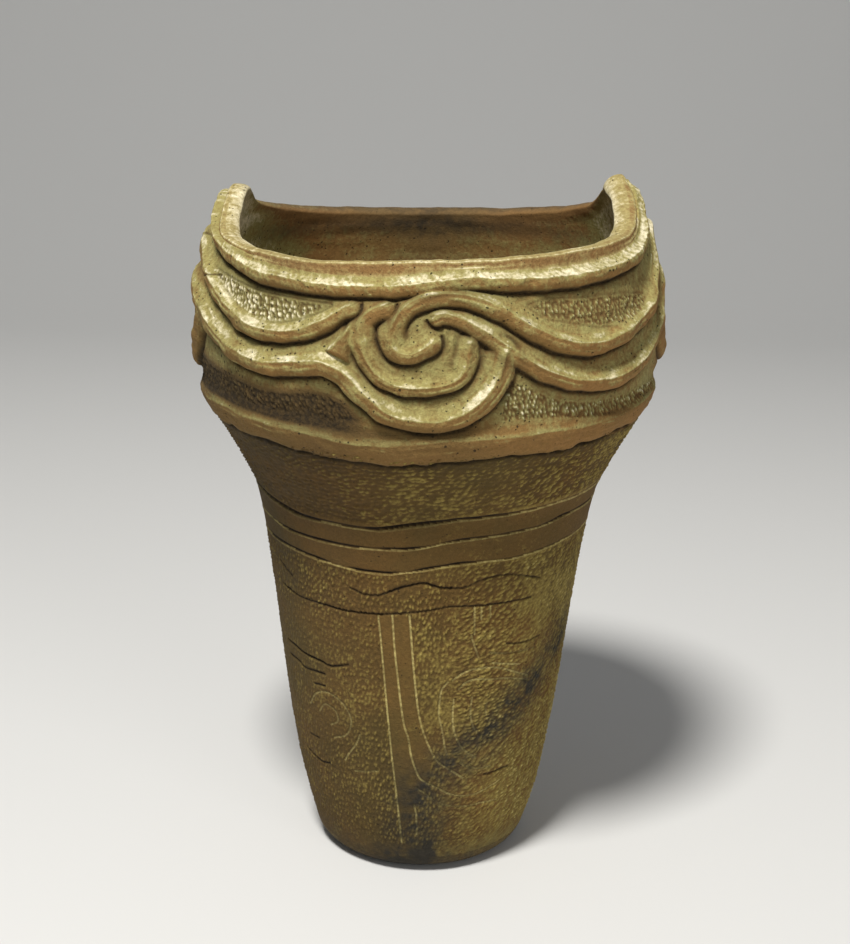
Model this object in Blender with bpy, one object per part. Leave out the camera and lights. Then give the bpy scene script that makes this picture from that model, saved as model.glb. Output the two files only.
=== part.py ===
"""Deep earthenware jar, hand built from coils of clay, with a collar of applied clay ropes.

A base disc carries stacked wall courses with scarfed seams. The top courses form a bulging
collar that ends in a lip with two peaks. A girdle, a ridge under the lip, and ropes that hang
as garlands and wind into a swirl on the front and on the back are pressed onto the collar,
with a short hanging loop under each peak.

Named values are in millimetres and degrees. Angle 0 is the front (-Y) and 90 is the right (+X).
"""

from math import ceil, cos, exp, hypot, pi, radians, sin, sqrt

import bmesh
import bpy
from mathutils import Vector

MM = 0.001
SEGMENTS = 60
SEAM_GAP = 0.3
ROPE_GAP = 0.35

# Foot and floor
FLAT_RADIUS = 46.3
FOOT_ROUNDING = 16.5
FLOOR_HEIGHT = 11.0
FOOT_RINGS = 5
FOOT_RING_CROWDING = 1.6

# Wall, as outer radius by height
WALL_OUTLINE = [
    (11, 61.9), (42, 70.4), (94, 79.1), (168, 88.0), (217, 96.5), (237, 105.2), (252, 113.5),
    (263, 120.0), (285, 125.5), (310, 127.0), (330, 125.2), (350, 120.5), (370, 114.0), (396, 103.0),
]
BODY_THICKNESS = 9.0
COLLAR_THICKNESS = 10.0
SCARF = 5.0

# Seams between the courses, by the height of their outer edge
BODY_SEAMS = [11, 47, 83, 119, 155, 191, 226]
COLLAR_FLOOR = 263.0
COLLAR_SEAM = 308.0

# Rows of faces over the height of a course
BODY_ROWS = 1
SHOULDER_ROWS = 3
COLLAR_LOWER_ROWS = 2
COLLAR_UPPER_ROWS = 3

# Lip with two peaks
LIP_LOW = 360.0
LIP_DEPTH = 11.0
LIP_ROUNDING = 4.5
LIP_STEPS = 6
PEAK_ANGLE = 92.5
PEAK_RISE = 21.0
PEAK_WIDTH = 20.0
SHOULDER_RISE = 6.0
SHOULDER_WIDTH = 42.0
LEAN = 4.0

# Girdle and the ridge under the lip
GIRDLE_HEIGHT = 270.5
GIRDLE_SWAY = 4.0
GIRDLE_WIDTH = 13.0
RIDGE_WIDTH = 10.5

# Ropes of one face, as (angle, height) along the middle of each rope
ROPE_RISE = 0.45
CROWN_STEPS = 5
ROPE_STEP = 7.5
END_TAPER = 9.0
END_SIZE = 0.45
LIP_RIDGE = [
    (-89.9, 376), (-85, 375), (-78, 370.5), (-70, 365.5), (-62, 360.5), (-52, 354.8), (-40, 351),
    (-25, 348.3), (-8, 348.5), (0, 351.6), (8, 352.6), (25, 351.2), (45, 351), (60, 353), (73, 357.8),
    (79, 364.5), (84.5, 373), (89.9, 376),
]
UPPER_LEFT = [
    (-89.9, 360), (-85, 358.5), (-78, 353), (-71, 346.5), (-64, 340), (-55, 331), (-46, 323.5),
    (-38, 320.8), (-30, 322.5), (-24, 328), (-19.5, 335),
]
LOWER_LEFT = [
    (-89.9, 338), (-85, 337), (-78, 332.5), (-70, 326.5), (-63, 319.5), (-55, 312.5), (-47, 307.5),
    (-38, 305), (-30, 306.5), (-24, 308.5), (-19.5, 305), (-13.5, 293.5), (-8, 284.7), (0, 282),
    (7, 285), (12.5, 293.5), (15.6, 303), (16, 307.5),
]
SPIRAL = [
    (1.5, 321), (-1, 316.8), (-4.3, 314.2), (-7.2, 316.5), (-8.2, 322.5), (-7.4, 330), (-5, 336),
    (-1.4, 340), (3, 341.5), (8, 340.9), (13, 338.2), (18, 333.8), (23, 327), (28, 321), (33, 317),
    (38, 315), (44, 314.8), (51, 317), (58, 320.8), (66, 327), (74, 337), (80, 348), (85, 357),
    (89.9, 360),
]
HOOK = [
    (0.4, 330.6), (2, 332.7), (4.6, 332.3), (8, 330), (11, 327), (14.6, 322.4), (18.5, 316.3),
    (22.5, 310), (27, 304.3), (32.5, 299.5), (38.5, 296), (45, 294.8), (52, 295.8), (59, 298.8),
    (66, 304), (74, 314.5), (80, 326), (85, 335), (89.9, 338),
]
SCROLL = [
    (-9.4, 337), (-12, 336), (-14.2, 332), (-15.1, 325.5), (-14.6, 317.8), (-13, 310.1),
    (-10.4, 303.5), (-6.4, 299.3), (-1.3, 298.2), (3.7, 299.6), (7.2, 304), (8.5, 311), (7.4, 318),
    (6.6, 321),
]
SIDE_LOOP = [
    (77.5, 305.5), (80.5, 299), (85, 294.5), (90, 293), (95.5, 294.5), (100.5, 299.5), (104.5, 306.5),
    (107, 313.5),
]
TRIANGLE_PAD = [(-23.2, 316.2), (-18.9, 327), (-18.7, 314.2)]
PAD_RISE = 4.0
PAD_INSET = 0.3
# Rope name, route, width at the first point, width at the last point, and whether each end is free
FACE_ROPES = [
    ("upper_left_garland", UPPER_LEFT, 11.5, 10.5, (False, True)),
    ("lower_left_garland", LOWER_LEFT, 11.5, 10.5, (False, True)),
    ("upper_right_spiral", SPIRAL, 8.0, 12.5, (True, False)),
    ("lower_right_hook", HOOK, 7.5, 12.5, (True, False)),
    ("scroll", SCROLL, 9.0, 9.5, (True, True)),
]
LOOP_WIDTH = 11.0

BODY_CLAY = (0.19, 0.125, 0.06)
COLLAR_CLAY = (0.30, 0.25, 0.12)
ROPE_CLAY = (0.34, 0.25, 0.12)
LIP_CLAY = (0.28, 0.20, 0.11)
FOOT_CLAY = (0.10, 0.08, 0.055)
CLAY_ROUGHNESS = 0.85
CREASE_ANGLE = 50


def clay(name, colour):
    """Unglazed fired clay of one colour."""
    material = bpy.data.materials.get(name) or bpy.data.materials.new(name)
    material.use_nodes = True
    shader = material.node_tree.nodes["Principled BSDF"]
    shader.inputs["Base Color"].default_value = (*colour, 1.0)
    shader.inputs["Roughness"].default_value = CLAY_ROUGHNESS
    shader.inputs["Metallic"].default_value = 0.0
    return material


def through(points, x):
    """The smooth curve through (x, y) points, read at x. It runs on in a straight line past the ends."""
    slopes = [
        (points[min(i + 1, len(points) - 1)][1] - points[max(i - 1, 0)][1])
        / (points[min(i + 1, len(points) - 1)][0] - points[max(i - 1, 0)][0])
        for i in range(len(points))
    ]
    if x <= points[0][0]:
        return points[0][1] + slopes[0] * (x - points[0][0])
    for (x0, y0), (x1, y1), m0, m1 in zip(points, points[1:], slopes, slopes[1:]):
        if x <= x1:
            span = x1 - x0
            t = (x - x0) / span
            rise = y1 - y0
            bend = t * (1 - t) * ((m0 * span - rise) * (1 - t) - (m1 * span - rise) * t)
            return y0 + rise * t + bend
    return points[-1][1] + slopes[-1] * (x - points[-1][0])


def wall_radius(height):
    return through(WALL_OUTLINE, height)


def wall_thickness(height):
    """Body thickness up to the neck, then swelling to the collar's."""
    swell = min(1.0, max(0.0, (height - BODY_SEAMS[-1]) / (COLLAR_FLOOR - BODY_SEAMS[-1])))
    return BODY_THICKNESS + (COLLAR_THICKNESS - BODY_THICKNESS) * swell


def lean(angle):
    """How much higher the right side of the collar stands than the middle."""
    return LEAN * sin(radians(angle)) ** 3


def lip_height(angle):
    """Crest of the lip: level on the front and back, with a peak on wide shoulders at each side."""
    off = min(abs((angle - peak + 180) % 360 - 180) for peak in (PEAK_ANGLE, -PEAK_ANGLE))
    peak = PEAK_RISE * exp(-((off / PEAK_WIDTH) ** 2))
    shoulders = SHOULDER_RISE * exp(-((off / SHOULDER_WIDTH) ** 2))
    return LIP_LOW + peak + shoulders + lean(angle)


def girdle_height(angle):
    return GIRDLE_HEIGHT - GIRDLE_SWAY * cos(radians(2 * angle)) + lean(angle) / 2


def at(angle, radius, height):
    """The point at this angle, radius and height, in metres."""
    a = radians(angle)
    return Vector((radius * sin(a), -radius * cos(a), height)) * MM


def on_wall(angle, height, lift):
    """A point that stands lift millimetres off the outer wall, square to it."""
    slope = wall_radius(height + 0.5) - wall_radius(height - 0.5)
    square = sqrt(1 + slope * slope)
    return at(angle, wall_radius(height) + lift / square, height - lift * slope / square)


def node(name, mesh_data, material):
    """Turns a bmesh into a smooth-shaded object."""
    bmesh.ops.recalc_face_normals(mesh_data, faces=mesh_data.faces)
    mesh = bpy.data.meshes.new(name)
    mesh_data.to_mesh(mesh)
    mesh_data.free()
    mesh.shade_smooth()
    mesh.set_sharp_from_angle(angle=radians(CREASE_ANGLE))
    mesh.materials.append(material)
    obj = bpy.data.objects.new(name, mesh)
    bpy.context.scene.collection.objects.link(obj)
    return obj


def sweep(name, sections, closed, material):
    """Extrudes the first section through the others, then joins up the ring or caps both ends."""
    work = bmesh.new()
    first = [work.verts.new(p) for p in sections[0]]
    edges = [work.edges.new((a, b)) for a, b in zip(first, first[1:] + first[:1])]
    first_edges = edges
    corner = first
    for section in sections[1:]:
        made = bmesh.ops.extrude_edge_only(work, edges=edges)["geom"]
        new = {v for v in made if isinstance(v, bmesh.types.BMVert)}
        corner = [next(e.other_vert(v) for e in v.link_edges if e.other_vert(v) in new) for v in corner]
        edges = [work.edges.get((a, b)) for a, b in zip(corner, corner[1:] + corner[:1])]
        for vert, point in zip(corner, section):
            vert.co = point
    if closed:
        bmesh.ops.bridge_loops(work, edges=first_edges + edges)
    else:
        work.faces.new(first)
        work.faces.new(corner)
    return node(name, work, material)


def ring(name, section, material):
    """A closed ring round the jar. section(angle) gives its (radius, height) corners."""
    angles = [360 * i / SEGMENTS for i in range(SEGMENTS)]
    return sweep(name, [[at(a, *corner) for corner in section(a)] for a in angles], True, material)


def base_disc():
    """Clay slab under the jar, rounded up from its flat to the first seam."""
    work = bmesh.new()
    rings = []
    for i in range(FOOT_RINGS):
        height = FLOOR_HEIGHT * (i / (FOOT_RINGS - 1)) ** FOOT_RING_CROWDING
        radius = FLAT_RADIUS + sqrt(FOOT_ROUNDING**2 - (FOOT_ROUNDING - height) ** 2)
        loop = [work.verts.new(at(360 * k / SEGMENTS, radius, height)) for k in range(SEGMENTS)]
        rings.append([work.edges.new((a, b)) for a, b in zip(loop, loop[1:] + loop[:1])])
    for lower, upper in zip(rings, rings[1:]):
        bmesh.ops.bridge_loops(work, edges=lower + upper)
    for end in (rings[0], rings[-1]):
        bmesh.ops.contextual_create(work, geom=end)
    return node("base_disc", work, clay("foot_clay", FOOT_CLAY))


def course(name, low, high, rows, material, bottom_scarf=SCARF, top_scarf=SCARF):
    """One coil of the wall between two seams. The seams rise by the scarf from outside to inside."""

    def section(angle):
        bottom = low(angle) + SEAM_GAP
        top = high(angle)
        shares = [k / rows for k in range(rows + 1)]
        heights = [bottom + (top - bottom) * s for s in shares]
        inner = [bottom + bottom_scarf + (top + top_scarf - bottom - bottom_scarf) * s for s in shares]
        outside = [(wall_radius(h), h) for h in heights]
        inside = [(wall_radius(h) - wall_thickness(h), h) for h in reversed(inner)]
        return outside + inside

    return ring(name, section, material)


def wall():
    """Body courses, the flaring shoulder and the two courses of the collar."""
    body = clay("body_clay", BODY_CLAY)
    collar = clay("collar_clay", COLLAR_CLAY)
    for number, (low, high) in enumerate(zip(BODY_SEAMS, BODY_SEAMS[1:]), start=1):
        foot = 0.0 if number == 1 else SCARF
        seams = (lambda a, h=low: h, lambda a, h=high: h)
        course(f"wall_course_{number}", *seams, BODY_ROWS, body, bottom_scarf=foot)
    course("shoulder_course", lambda a: BODY_SEAMS[-1], lambda a: COLLAR_FLOOR, SHOULDER_ROWS, body)
    seams = (lambda a: COLLAR_FLOOR, lambda a: COLLAR_SEAM)
    course("collar_lower_course", *seams, COLLAR_LOWER_ROWS, collar)
    seams = (lambda a: COLLAR_SEAM, lambda a: lip_height(a) - LIP_DEPTH)
    course("collar_upper_course", *seams, COLLAR_UPPER_ROWS, collar, top_scarf=0)


def lip():
    """The last coil, rolled over at the top and pulled up into the two peaks."""

    def section(angle):
        crest = lip_height(angle)
        seat = crest - LIP_DEPTH + SEAM_GAP
        shoulder = crest - LIP_ROUNDING
        radius = wall_radius(shoulder)
        middle = radius - COLLAR_THICKNESS / 2
        half = COLLAR_THICKNESS / 2
        turns = [pi * k / LIP_STEPS for k in range(LIP_STEPS + 1)]
        rolled = [(middle + half * cos(t), shoulder + LIP_ROUNDING * sin(t)) for t in turns]
        return [(wall_radius(seat), seat)] + rolled + [(wall_radius(seat) - COLLAR_THICKNESS, seat)]

    return ring("lip", section, clay("lip_clay", LIP_CLAY))


def rope_section(width):
    """Half-round section of a rope as (across, lift), with a foot that follows the wall."""
    half = width / 2
    rise = ROPE_RISE * width
    turns = [pi * k / CROWN_STEPS for k in range(CROWN_STEPS + 1)]
    crown = [(half * cos(t), ROPE_GAP + (rise - ROPE_GAP) * sin(t)) for t in turns]
    return crown + [(0.0, ROPE_GAP)]


def girdle():
    """Rope that covers the seam between the shoulder and the collar."""

    def section(angle):
        corners = []
        for across, lift in rope_section(GIRDLE_WIDTH):
            point = on_wall(angle, girdle_height(angle) + across, lift) / MM
            corners.append((hypot(point.x, point.y), point.z))
        return corners

    return ring("girdle", section, clay("rope_clay", ROPE_CLAY))


def route_points(route):
    """A smooth line through the route's points, as (angle, height) about ROPE_STEP apart."""
    run = [0.0]
    for (a0, h0), (a1, h1) in zip(route, route[1:]):
        run.append(run[-1] + hypot(radians(a1 - a0) * wall_radius((h0 + h1) / 2), h1 - h0))
    angles = list(zip(run, (p[0] for p in route)))
    heights = list(zip(run, (p[1] for p in route)))
    count = ceil(run[-1] / ROPE_STEP)
    stops = [run[-1] * i / count for i in range(count + 1)]
    return [(through(angles, stop), through(heights, stop)) for stop in stops]


def rope(name, route, first_width, last_width, free_ends, turn, material):
    """A rolled rope of clay laid along its route on the wall. Free ends taper, joined ends are mitred."""
    line = route_points(route)
    length = ROPE_STEP * (len(line) - 1)
    sections = []
    for i, (angle, height) in enumerate(line):
        before, after = line[max(i - 1, 0)], line[min(i + 1, len(line) - 1)]
        per_degree = radians(1) * wall_radius(height)
        along = Vector(((after[0] - before[0]) * per_degree, after[1] - before[1])).normalized()
        gone = ROPE_STEP * i
        size = 1.0
        if (i == 0 and not free_ends[0]) or (i == len(line) - 1 and not free_ends[1]):
            along = Vector((along.x / abs(along.x), 0.0))
        for free, distance in zip(free_ends, (gone, length - gone)):
            if free and distance < END_TAPER:
                size = END_SIZE + (1 - END_SIZE) * sqrt(distance / END_TAPER)
        width = size * (first_width + (last_width - first_width) * gone / length)
        sections.append(
            [
                on_wall(
                    angle + turn - across * along.y / per_degree,
                    height + lean(angle + turn) + across * along.x,
                    lift,
                )
                for across, lift in rope_section(width)
            ]
        )
    return sweep(name, sections, False, material)


def pad(name, turn, material):
    """Flat triangular patch of clay beside the swirl."""
    foot = [on_wall(a + turn, h + lean(a + turn), ROPE_GAP) for a, h in TRIANGLE_PAD]
    middle = (sum(a for a, _ in TRIANGLE_PAD) / 3, sum(h for _, h in TRIANGLE_PAD) / 3)
    top = []
    for a, h in TRIANGLE_PAD:
        angle = a + (middle[0] - a) * PAD_INSET + turn
        top.append(on_wall(angle, h + (middle[1] - h) * PAD_INSET + lean(angle), PAD_RISE))
    return sweep(name, [foot, top], False, material)


def applied_ropes():
    """The ridge under the lip, the swirl's ropes, the pad and a side loop, then all of it half a turn on."""
    material = clay("rope_clay", ROPE_CLAY)
    for face, side, turn in (("front", "right", 0), ("back", "left", 180)):
        rope(f"{face}_lip_ridge", LIP_RIDGE, RIDGE_WIDTH, RIDGE_WIDTH, (False, False), turn, material)
        for name, route, first, last, ends in FACE_ROPES:
            rope(f"{face}_{name}", route, first, last, ends, turn, material)
        pad(f"{face}_triangle_pad", turn, material)
        rope(f"{side}_side_loop", SIDE_LOOP, LOOP_WIDTH, LOOP_WIDTH, (True, True), turn, material)


def build():
    for obj in list(bpy.data.objects):
        bpy.data.objects.remove(obj)
    base_disc()
    wall()
    lip()
    girdle()
    applied_ropes()


build()
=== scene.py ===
from math import cos, radians, sin

import bmesh
import bpy
import numpy as np
from mathutils import Matrix, Vector


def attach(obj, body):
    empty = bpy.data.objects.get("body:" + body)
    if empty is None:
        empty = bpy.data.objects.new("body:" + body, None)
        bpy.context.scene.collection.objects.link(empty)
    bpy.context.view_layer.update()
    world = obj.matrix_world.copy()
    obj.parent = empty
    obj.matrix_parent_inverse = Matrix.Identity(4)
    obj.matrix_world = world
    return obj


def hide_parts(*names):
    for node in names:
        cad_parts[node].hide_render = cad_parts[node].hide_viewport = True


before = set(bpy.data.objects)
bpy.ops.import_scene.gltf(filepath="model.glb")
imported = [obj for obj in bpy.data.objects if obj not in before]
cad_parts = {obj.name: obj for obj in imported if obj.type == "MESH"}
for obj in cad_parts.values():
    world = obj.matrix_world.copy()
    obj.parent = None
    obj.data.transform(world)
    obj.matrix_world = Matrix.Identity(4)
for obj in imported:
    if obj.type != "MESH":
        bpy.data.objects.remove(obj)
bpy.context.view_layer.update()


# Base disc: a slab of coarse clay patted flat by hand and rounded up into the wall that stands on its edge.
# It stood in the embers, so it is smoked grey. Sizes in this file are millimetres and degrees, unless a line
# says metres. Angle 0 is the front and 90 the right side.
MM = 0.001
SLAB_RADIUS = 62.0
FLAT_RADIUS = 46.3
FOOT_ROUNDING = 16.5
FLOOR_HEIGHT = 11.0
FOOT_ROWS = 18
BODY_AROUND = 960
CAP_INSETS = (2.0, 4.0, 8.0, 12.0, 12.0)
# Painted shade in hollows, dents and cuts:
HOLLOW_SHADE_COLOUR = (44, 34, 19)
# Painted shade in the grooves of cut lines and rings:
GROOVE_SHADE_COLOUR = (30, 22, 12)
PIT_DIRT = (38, 29, 17)
SOOT = (50, 46, 38)


def chance(seed, *whole):
    """A repeatable number from 0 to 1 for every set of whole numbers."""
    mixed = np.full(np.shape(whole[0]), (seed * 2654435761) % 4294967296, np.uint32)
    for number in whole:
        mixed = (mixed ^ np.asarray(number).astype(np.int64).astype(np.uint32)) * np.uint32(2246822519)
        mixed = mixed ^ (mixed >> np.uint32(15))
    mixed = mixed * np.uint32(3266489917)
    return (mixed ^ (mixed >> np.uint32(16))) / 4294967296.0


def mottle(points, size, seed):
    """Smooth uneven swell from -1 to 1, with lumps of about this size."""
    place = points / size
    cell = np.floor(place).astype(np.int64)
    part = place - cell
    part = part * part * (3 - 2 * part)
    total = np.zeros(len(points))
    for corner in range(8):
        step = np.array([corner & 1, corner >> 1 & 1, corner >> 2])
        weight = np.prod(np.where(step, part, 1 - part), axis=1)
        total += weight * chance(seed, *(cell + step).T)
    return 2 * total - 1


def eased(x):
    """0 below 0, 1 above 1, and a soft step between."""
    x = np.clip(x, 0, 1)
    return x * x * (3 - 2 * x)


def pick_edges(obj, wanted):
    """Selects the edges, in edit mode, whose two ends pass the test."""
    work = bmesh.from_edit_mesh(obj.data)
    for part in (*work.faces, *work.edges, *work.verts):
        part.select = False
    for edge in work.edges:
        if wanted(edge, edge.verts[0].co, edge.verts[1].co):
            edge.select_set(True)
    bmesh.update_edit_mesh(obj.data)


def cut_edges(obj, parts, wanted):
    """Cuts the edges that pass the test into this many parts."""
    pick_edges(obj, wanted)
    bpy.ops.mesh.subdivide(number_cuts=parts - 1)


def coordinates(obj):
    """The points of a mesh, one row each."""
    flat = np.empty(len(obj.data.vertices) * 3, np.float32)
    obj.data.vertices.foreach_get("co", flat)
    return flat.reshape(-1, 3).astype(float)


def angle_of(points):
    """The angle round the jar at which each point stands."""
    return np.degrees(np.arctan2(points[:, 0], -points[:, 1]))


def round_axis(radius, angle, height):
    """Points at this radius from the jar's axis, this angle and this height."""
    turn = np.radians(angle)
    return np.column_stack([radius * np.sin(turn), -radius * np.cos(turn), height])


def hand_swell(spot):
    """The uneven swell that hands leave in a wall of wet clay."""
    return 0.7 * mottle(spot, 55, 1) + 0.3 * mottle(spot, 18, 2)


def ember_smoke(spot):
    """Soot from the embers that the foot stood in, thinning out up the wall."""
    return 0.7 * eased((30 - spot[:, 2]) / 26) * (0.75 + 0.4 * mottle(spot, 26, 42))


def patchy_film(spot):
    """Where the dusty film lies thicker or thinner on the body."""
    return 0.18 * mottle(spot, 30, 46) + 0.18 * mottle(spot, 8, 49)


def seen_as(red, green, blue):
    """A colour as the eye reads it, 0 to 255, as light."""
    return (*(((c / 255 + 0.055) / 1.055) ** 2.4 for c in (red, green, blue)), 1.0)


def fired_clay(name, earth, warm_earth, film_and_painted_light, cream, roughness, pitted):
    """Unglazed clay: an earth body, a dusty film and painted light on what faces up, painted shade in
    hollows and grooves, soot, pits and grit.
    """
    earth, warm_earth, film_and_painted_light, cream = (seen_as(*colour) for colour in (earth, warm_earth, film_and_painted_light, cream))
    material = bpy.data.materials.new(name)
    material.use_nodes = True
    tree = material.node_tree
    shader = tree.nodes["Principled BSDF"]

    def put(kind, inputs=(), **settings):
        made = tree.nodes.new(kind)
        for key, value in settings.items():
            setattr(made, key, value)
        for key, value in dict(inputs).items():
            if isinstance(value, bpy.types.NodeSocket):
                tree.links.new(value, made.inputs[key])
            else:
                made.inputs[key].default_value = value
        return made

    def number(operation, a, b=0.0, c=0.0):
        return put("ShaderNodeMath", {0: a, 1: b, 2: c}, operation=operation).outputs[0]

    def blend(share, a, b):
        return put("ShaderNodeMix", {0: share, 6: a, 7: b}, data_type="RGBA", clamp_factor=True).outputs[2]

    def ranged(value, low, high, to_low, to_high):
        inputs = {"Value": value, "From Min": low, "From Max": high, "To Min": to_low, "To Max": to_high}
        return put("ShaderNodeMapRange", inputs).outputs["Result"]

    def noted(attribute):
        return put("ShaderNodeAttribute", attribute_name=attribute).outputs["Fac"]

    place = put("ShaderNodeTexCoord").outputs["Object"]

    def cloud(scale, detail):
        inputs = {"Vector": place, "Scale": scale, "Detail": detail, "Roughness": 0.6}
        return put("ShaderNodeTexNoise", inputs).outputs["Fac"]

    patches = cloud(34.0, 4.0)
    blotches = cloud(150.0, 4.0)
    specks = cloud(460.0, 3.0)
    grit = cloud(1300.0, 2.0)
    crooked = put("ShaderNodeTexNoise", {"Vector": place, "Scale": 500.0, "Detail": 1.0}).outputs["Color"]
    crooked = put("ShaderNodeVectorMath", {0: crooked, "Scale": 0.0016}, operation="SCALE").outputs[0]
    crooked = put("ShaderNodeVectorMath", {0: place, 1: crooked}, operation="ADD").outputs[0]
    voids = put("ShaderNodeTexVoronoi", {"Vector": crooked, "Scale": 480.0})
    luck = put("ShaderNodeSeparateColor", {"Color": voids.outputs["Color"]}).outputs["Red"]
    void_size = ranged(cloud(70.0, 2.0), 0.42, 0.58, 0.3, 1.0)
    void_size = number("MULTIPLY", ranged(luck, 0.2, 1.0, 0.0, pitted), void_size)
    pit = ranged(number("SUBTRACT", voids.outputs["Distance"], void_size), -0.08, 0.0, 1.0, 0.0)

    # Film level, with its painted light and shade.
    coat_and_painted_light = number("ADD", noted("film_and_painted_light"), number("MULTIPLY_ADD", patches, 0.4, -0.2))
    coat_and_painted_light = number("ADD", coat_and_painted_light, number("MULTIPLY_ADD", blotches, 0.7, -0.35))
    coat_and_painted_light = number("ADD", coat_and_painted_light, number("MULTIPLY_ADD", specks, 1.0, -0.5))
    warmth = number("ADD", noted("warm"), number("MULTIPLY_ADD", patches, 0.9, -0.45))
    body = blend(warmth, earth, warm_earth)
    body = blend(ranged(coat_and_painted_light, 0.08, 0.62, 0.0, 1.0), body, film_and_painted_light)
    body = blend(ranged(coat_and_painted_light, 0.72, 1.3, 0.0, 1.0), body, cream)
    # Painted shade in hollows, dents, cracks and cuts, and under ropes.
    shade_in_hollows = number("MULTIPLY", noted("hollow_shade"), ranged(specks, 0.3, 0.6, 0.7, 1.0))
    body = blend(shade_in_hollows, body, seen_as(*HOLLOW_SHADE_COLOUR))
    near_line = ranged(noted("off_line"), 0.1, 0.6, 1.0, 0.0)
    # Pale dust in cut lines, and a painted highlight along the lower lips of the rings.
    pale_dust_and_highlight = number("MULTIPLY", ranged(noted("dust_and_groove_light"), 0.0, 1.0, 0.0, 1.0), near_line)
    pale_dust_and_highlight = number("MULTIPLY", pale_dust_and_highlight, ranged(specks, 0.35, 0.6, 0.5, 1.0))
    body = blend(pale_dust_and_highlight, body, cream)
    # Painted shade in the grooves of rings and of cut lines without pale filling.
    shade_in_grooves = number("MULTIPLY", ranged(noted("dust_and_groove_light"), 0.0, -1.0, 0.0, 1.0), near_line)
    shade_in_grooves = number("MULTIPLY", shade_in_grooves, ranged(blotches, 0.35, 0.6, 0.75, 1.0))
    body = blend(shade_in_grooves, body, seen_as(*GROOVE_SHADE_COLOUR))
    smoke = number("MULTIPLY", noted("soot"), ranged(blotches, 0.35, 0.62, 0.65, 1.15))
    body = blend(smoke, body, seen_as(*SOOT))
    body = blend(number("MULTIPLY", pit, 0.8), body, seen_as(*PIT_DIRT))
    shade = number("MULTIPLY", ranged(specks, 0.3, 0.7, 0.86, 1.12), ranged(grit, 0.3, 0.7, 0.88, 1.1))
    body = put("ShaderNodeVectorMath", {0: body, "Scale": shade}, operation="SCALE").outputs[0]
    tree.links.new(body, shader.inputs["Base Color"])

    rough = ranged(coat_and_painted_light, 0.2, 1.1, roughness + 0.08, roughness - 0.1)
    tree.links.new(rough, shader.inputs["Roughness"])
    shader.inputs["Specular IOR Level"].default_value = 0.25

    height = number("MULTIPLY_ADD", specks, 1.0, number("MULTIPLY", blotches, 0.9))
    height = number("MULTIPLY_ADD", grit, 0.35, height)
    height = number("MULTIPLY_ADD", pit, -1.2, height)
    strength = ranged(noted("wiped"), 0.0, 1.0, 0.85, 0.3)
    bump = put("ShaderNodeBump", {"Strength": strength, "Distance": 0.0009, "Height": height})
    tree.links.new(bump.outputs["Normal"], shader.inputs["Normal"])
    return material


def give_surface(piece, points, notes, up_lines, seam, material):
    """Sets the shaped points, in metres, and notes how much film, painted light and shade, dust, soot and
    warmth lies on each. up_lines are the directions up along the wall: what faces up along them holds more
    film and is painted lighter, raised crests get a painted highlight and raised faces that look down are
    painted browner and darker. seam marks the points of the faces that are pressed against a neighbour,
    which have sharp edges."""
    mesh = piece.data
    mesh.vertices.foreach_set("co", points.astype(np.float32).ravel())
    mesh.update()
    mesh.shade_smooth()

    def read(collection, field, width, kind):
        flat = np.empty(len(collection) * width, kind)
        collection.foreach_get(field, flat)
        return flat

    corners = read(mesh.loops, "vertex_index", 1, np.int32)
    corner_edges = read(mesh.loops, "edge_index", 1, np.int32)
    starts = read(mesh.polygons, "loop_start", 1, np.int32)
    totals = read(mesh.polygons, "loop_total", 1, np.int32)
    areas = read(mesh.polygons, "area", 1, np.float32)
    normals = read(mesh.polygons, "normal", 3, np.float32).reshape(-1, 3)
    between = np.logical_and.reduceat(seam[corners], starts)
    of_face = np.repeat(np.arange(len(starts)), totals)
    weight = (areas * ~between)[of_face]
    facing = [np.bincount(corners, normals[of_face, k] * weight, len(points)) for k in range(3)]
    facing = np.stack(facing, axis=1)
    facing /= np.maximum(np.linalg.norm(facing, axis=1, keepdims=True), 1e-12)
    facing_up = np.sum(facing * up_lines, axis=1)
    sharp = np.zeros(len(mesh.edges), bool)
    sharp[corner_edges[between[of_face]]] = True
    mesh.attributes.new("sharp_edge", "BOOLEAN", "EDGE").data.foreach_set("value", sharp)

    notes = dict(notes)
    # Painted light: up-facing faces get more film and so are lighter, raised crests get a painted highlight
    # along with wear, and down-facing faces get worn brown clay with painted shade.
    raised_parts = notes.pop("worn_and_painted_light", 0.0)
    rubbed_and_painted_light = raised_parts * np.exp(-(((facing_up - 0.45) / 0.25) ** 2))
    worn_and_painted_light = raised_parts * (1 - eased((facing_up + 0.3) / 0.8))
    notes["film_and_painted_light"] = notes["film_and_painted_light"] + 0.2 * facing_up - 0.5 * notes["hollow_shade"] - 0.34 * worn_and_painted_light + 0.42 * rubbed_and_painted_light
    notes["warm"] = np.clip(notes["warm"] + 0.45 * worn_and_painted_light, 0, 1)
    for name, values in notes.items():
        mesh.attributes.new(name, "FLOAT", "POINT").data.foreach_set("value", values.astype(np.float32))
    mesh.materials.clear()
    mesh.materials.append(material)


def stand_for(piece, node):
    """The piece takes the place of its solid, and stays with the jar."""
    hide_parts(node)
    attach(piece, "root")


foot_clay = fired_clay(
    "smoked_foot_clay", (92, 74, 40), (116, 86, 44), (132, 114, 62), (170, 152, 96),
    roughness=0.86, pitted=0.2,
)

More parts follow.
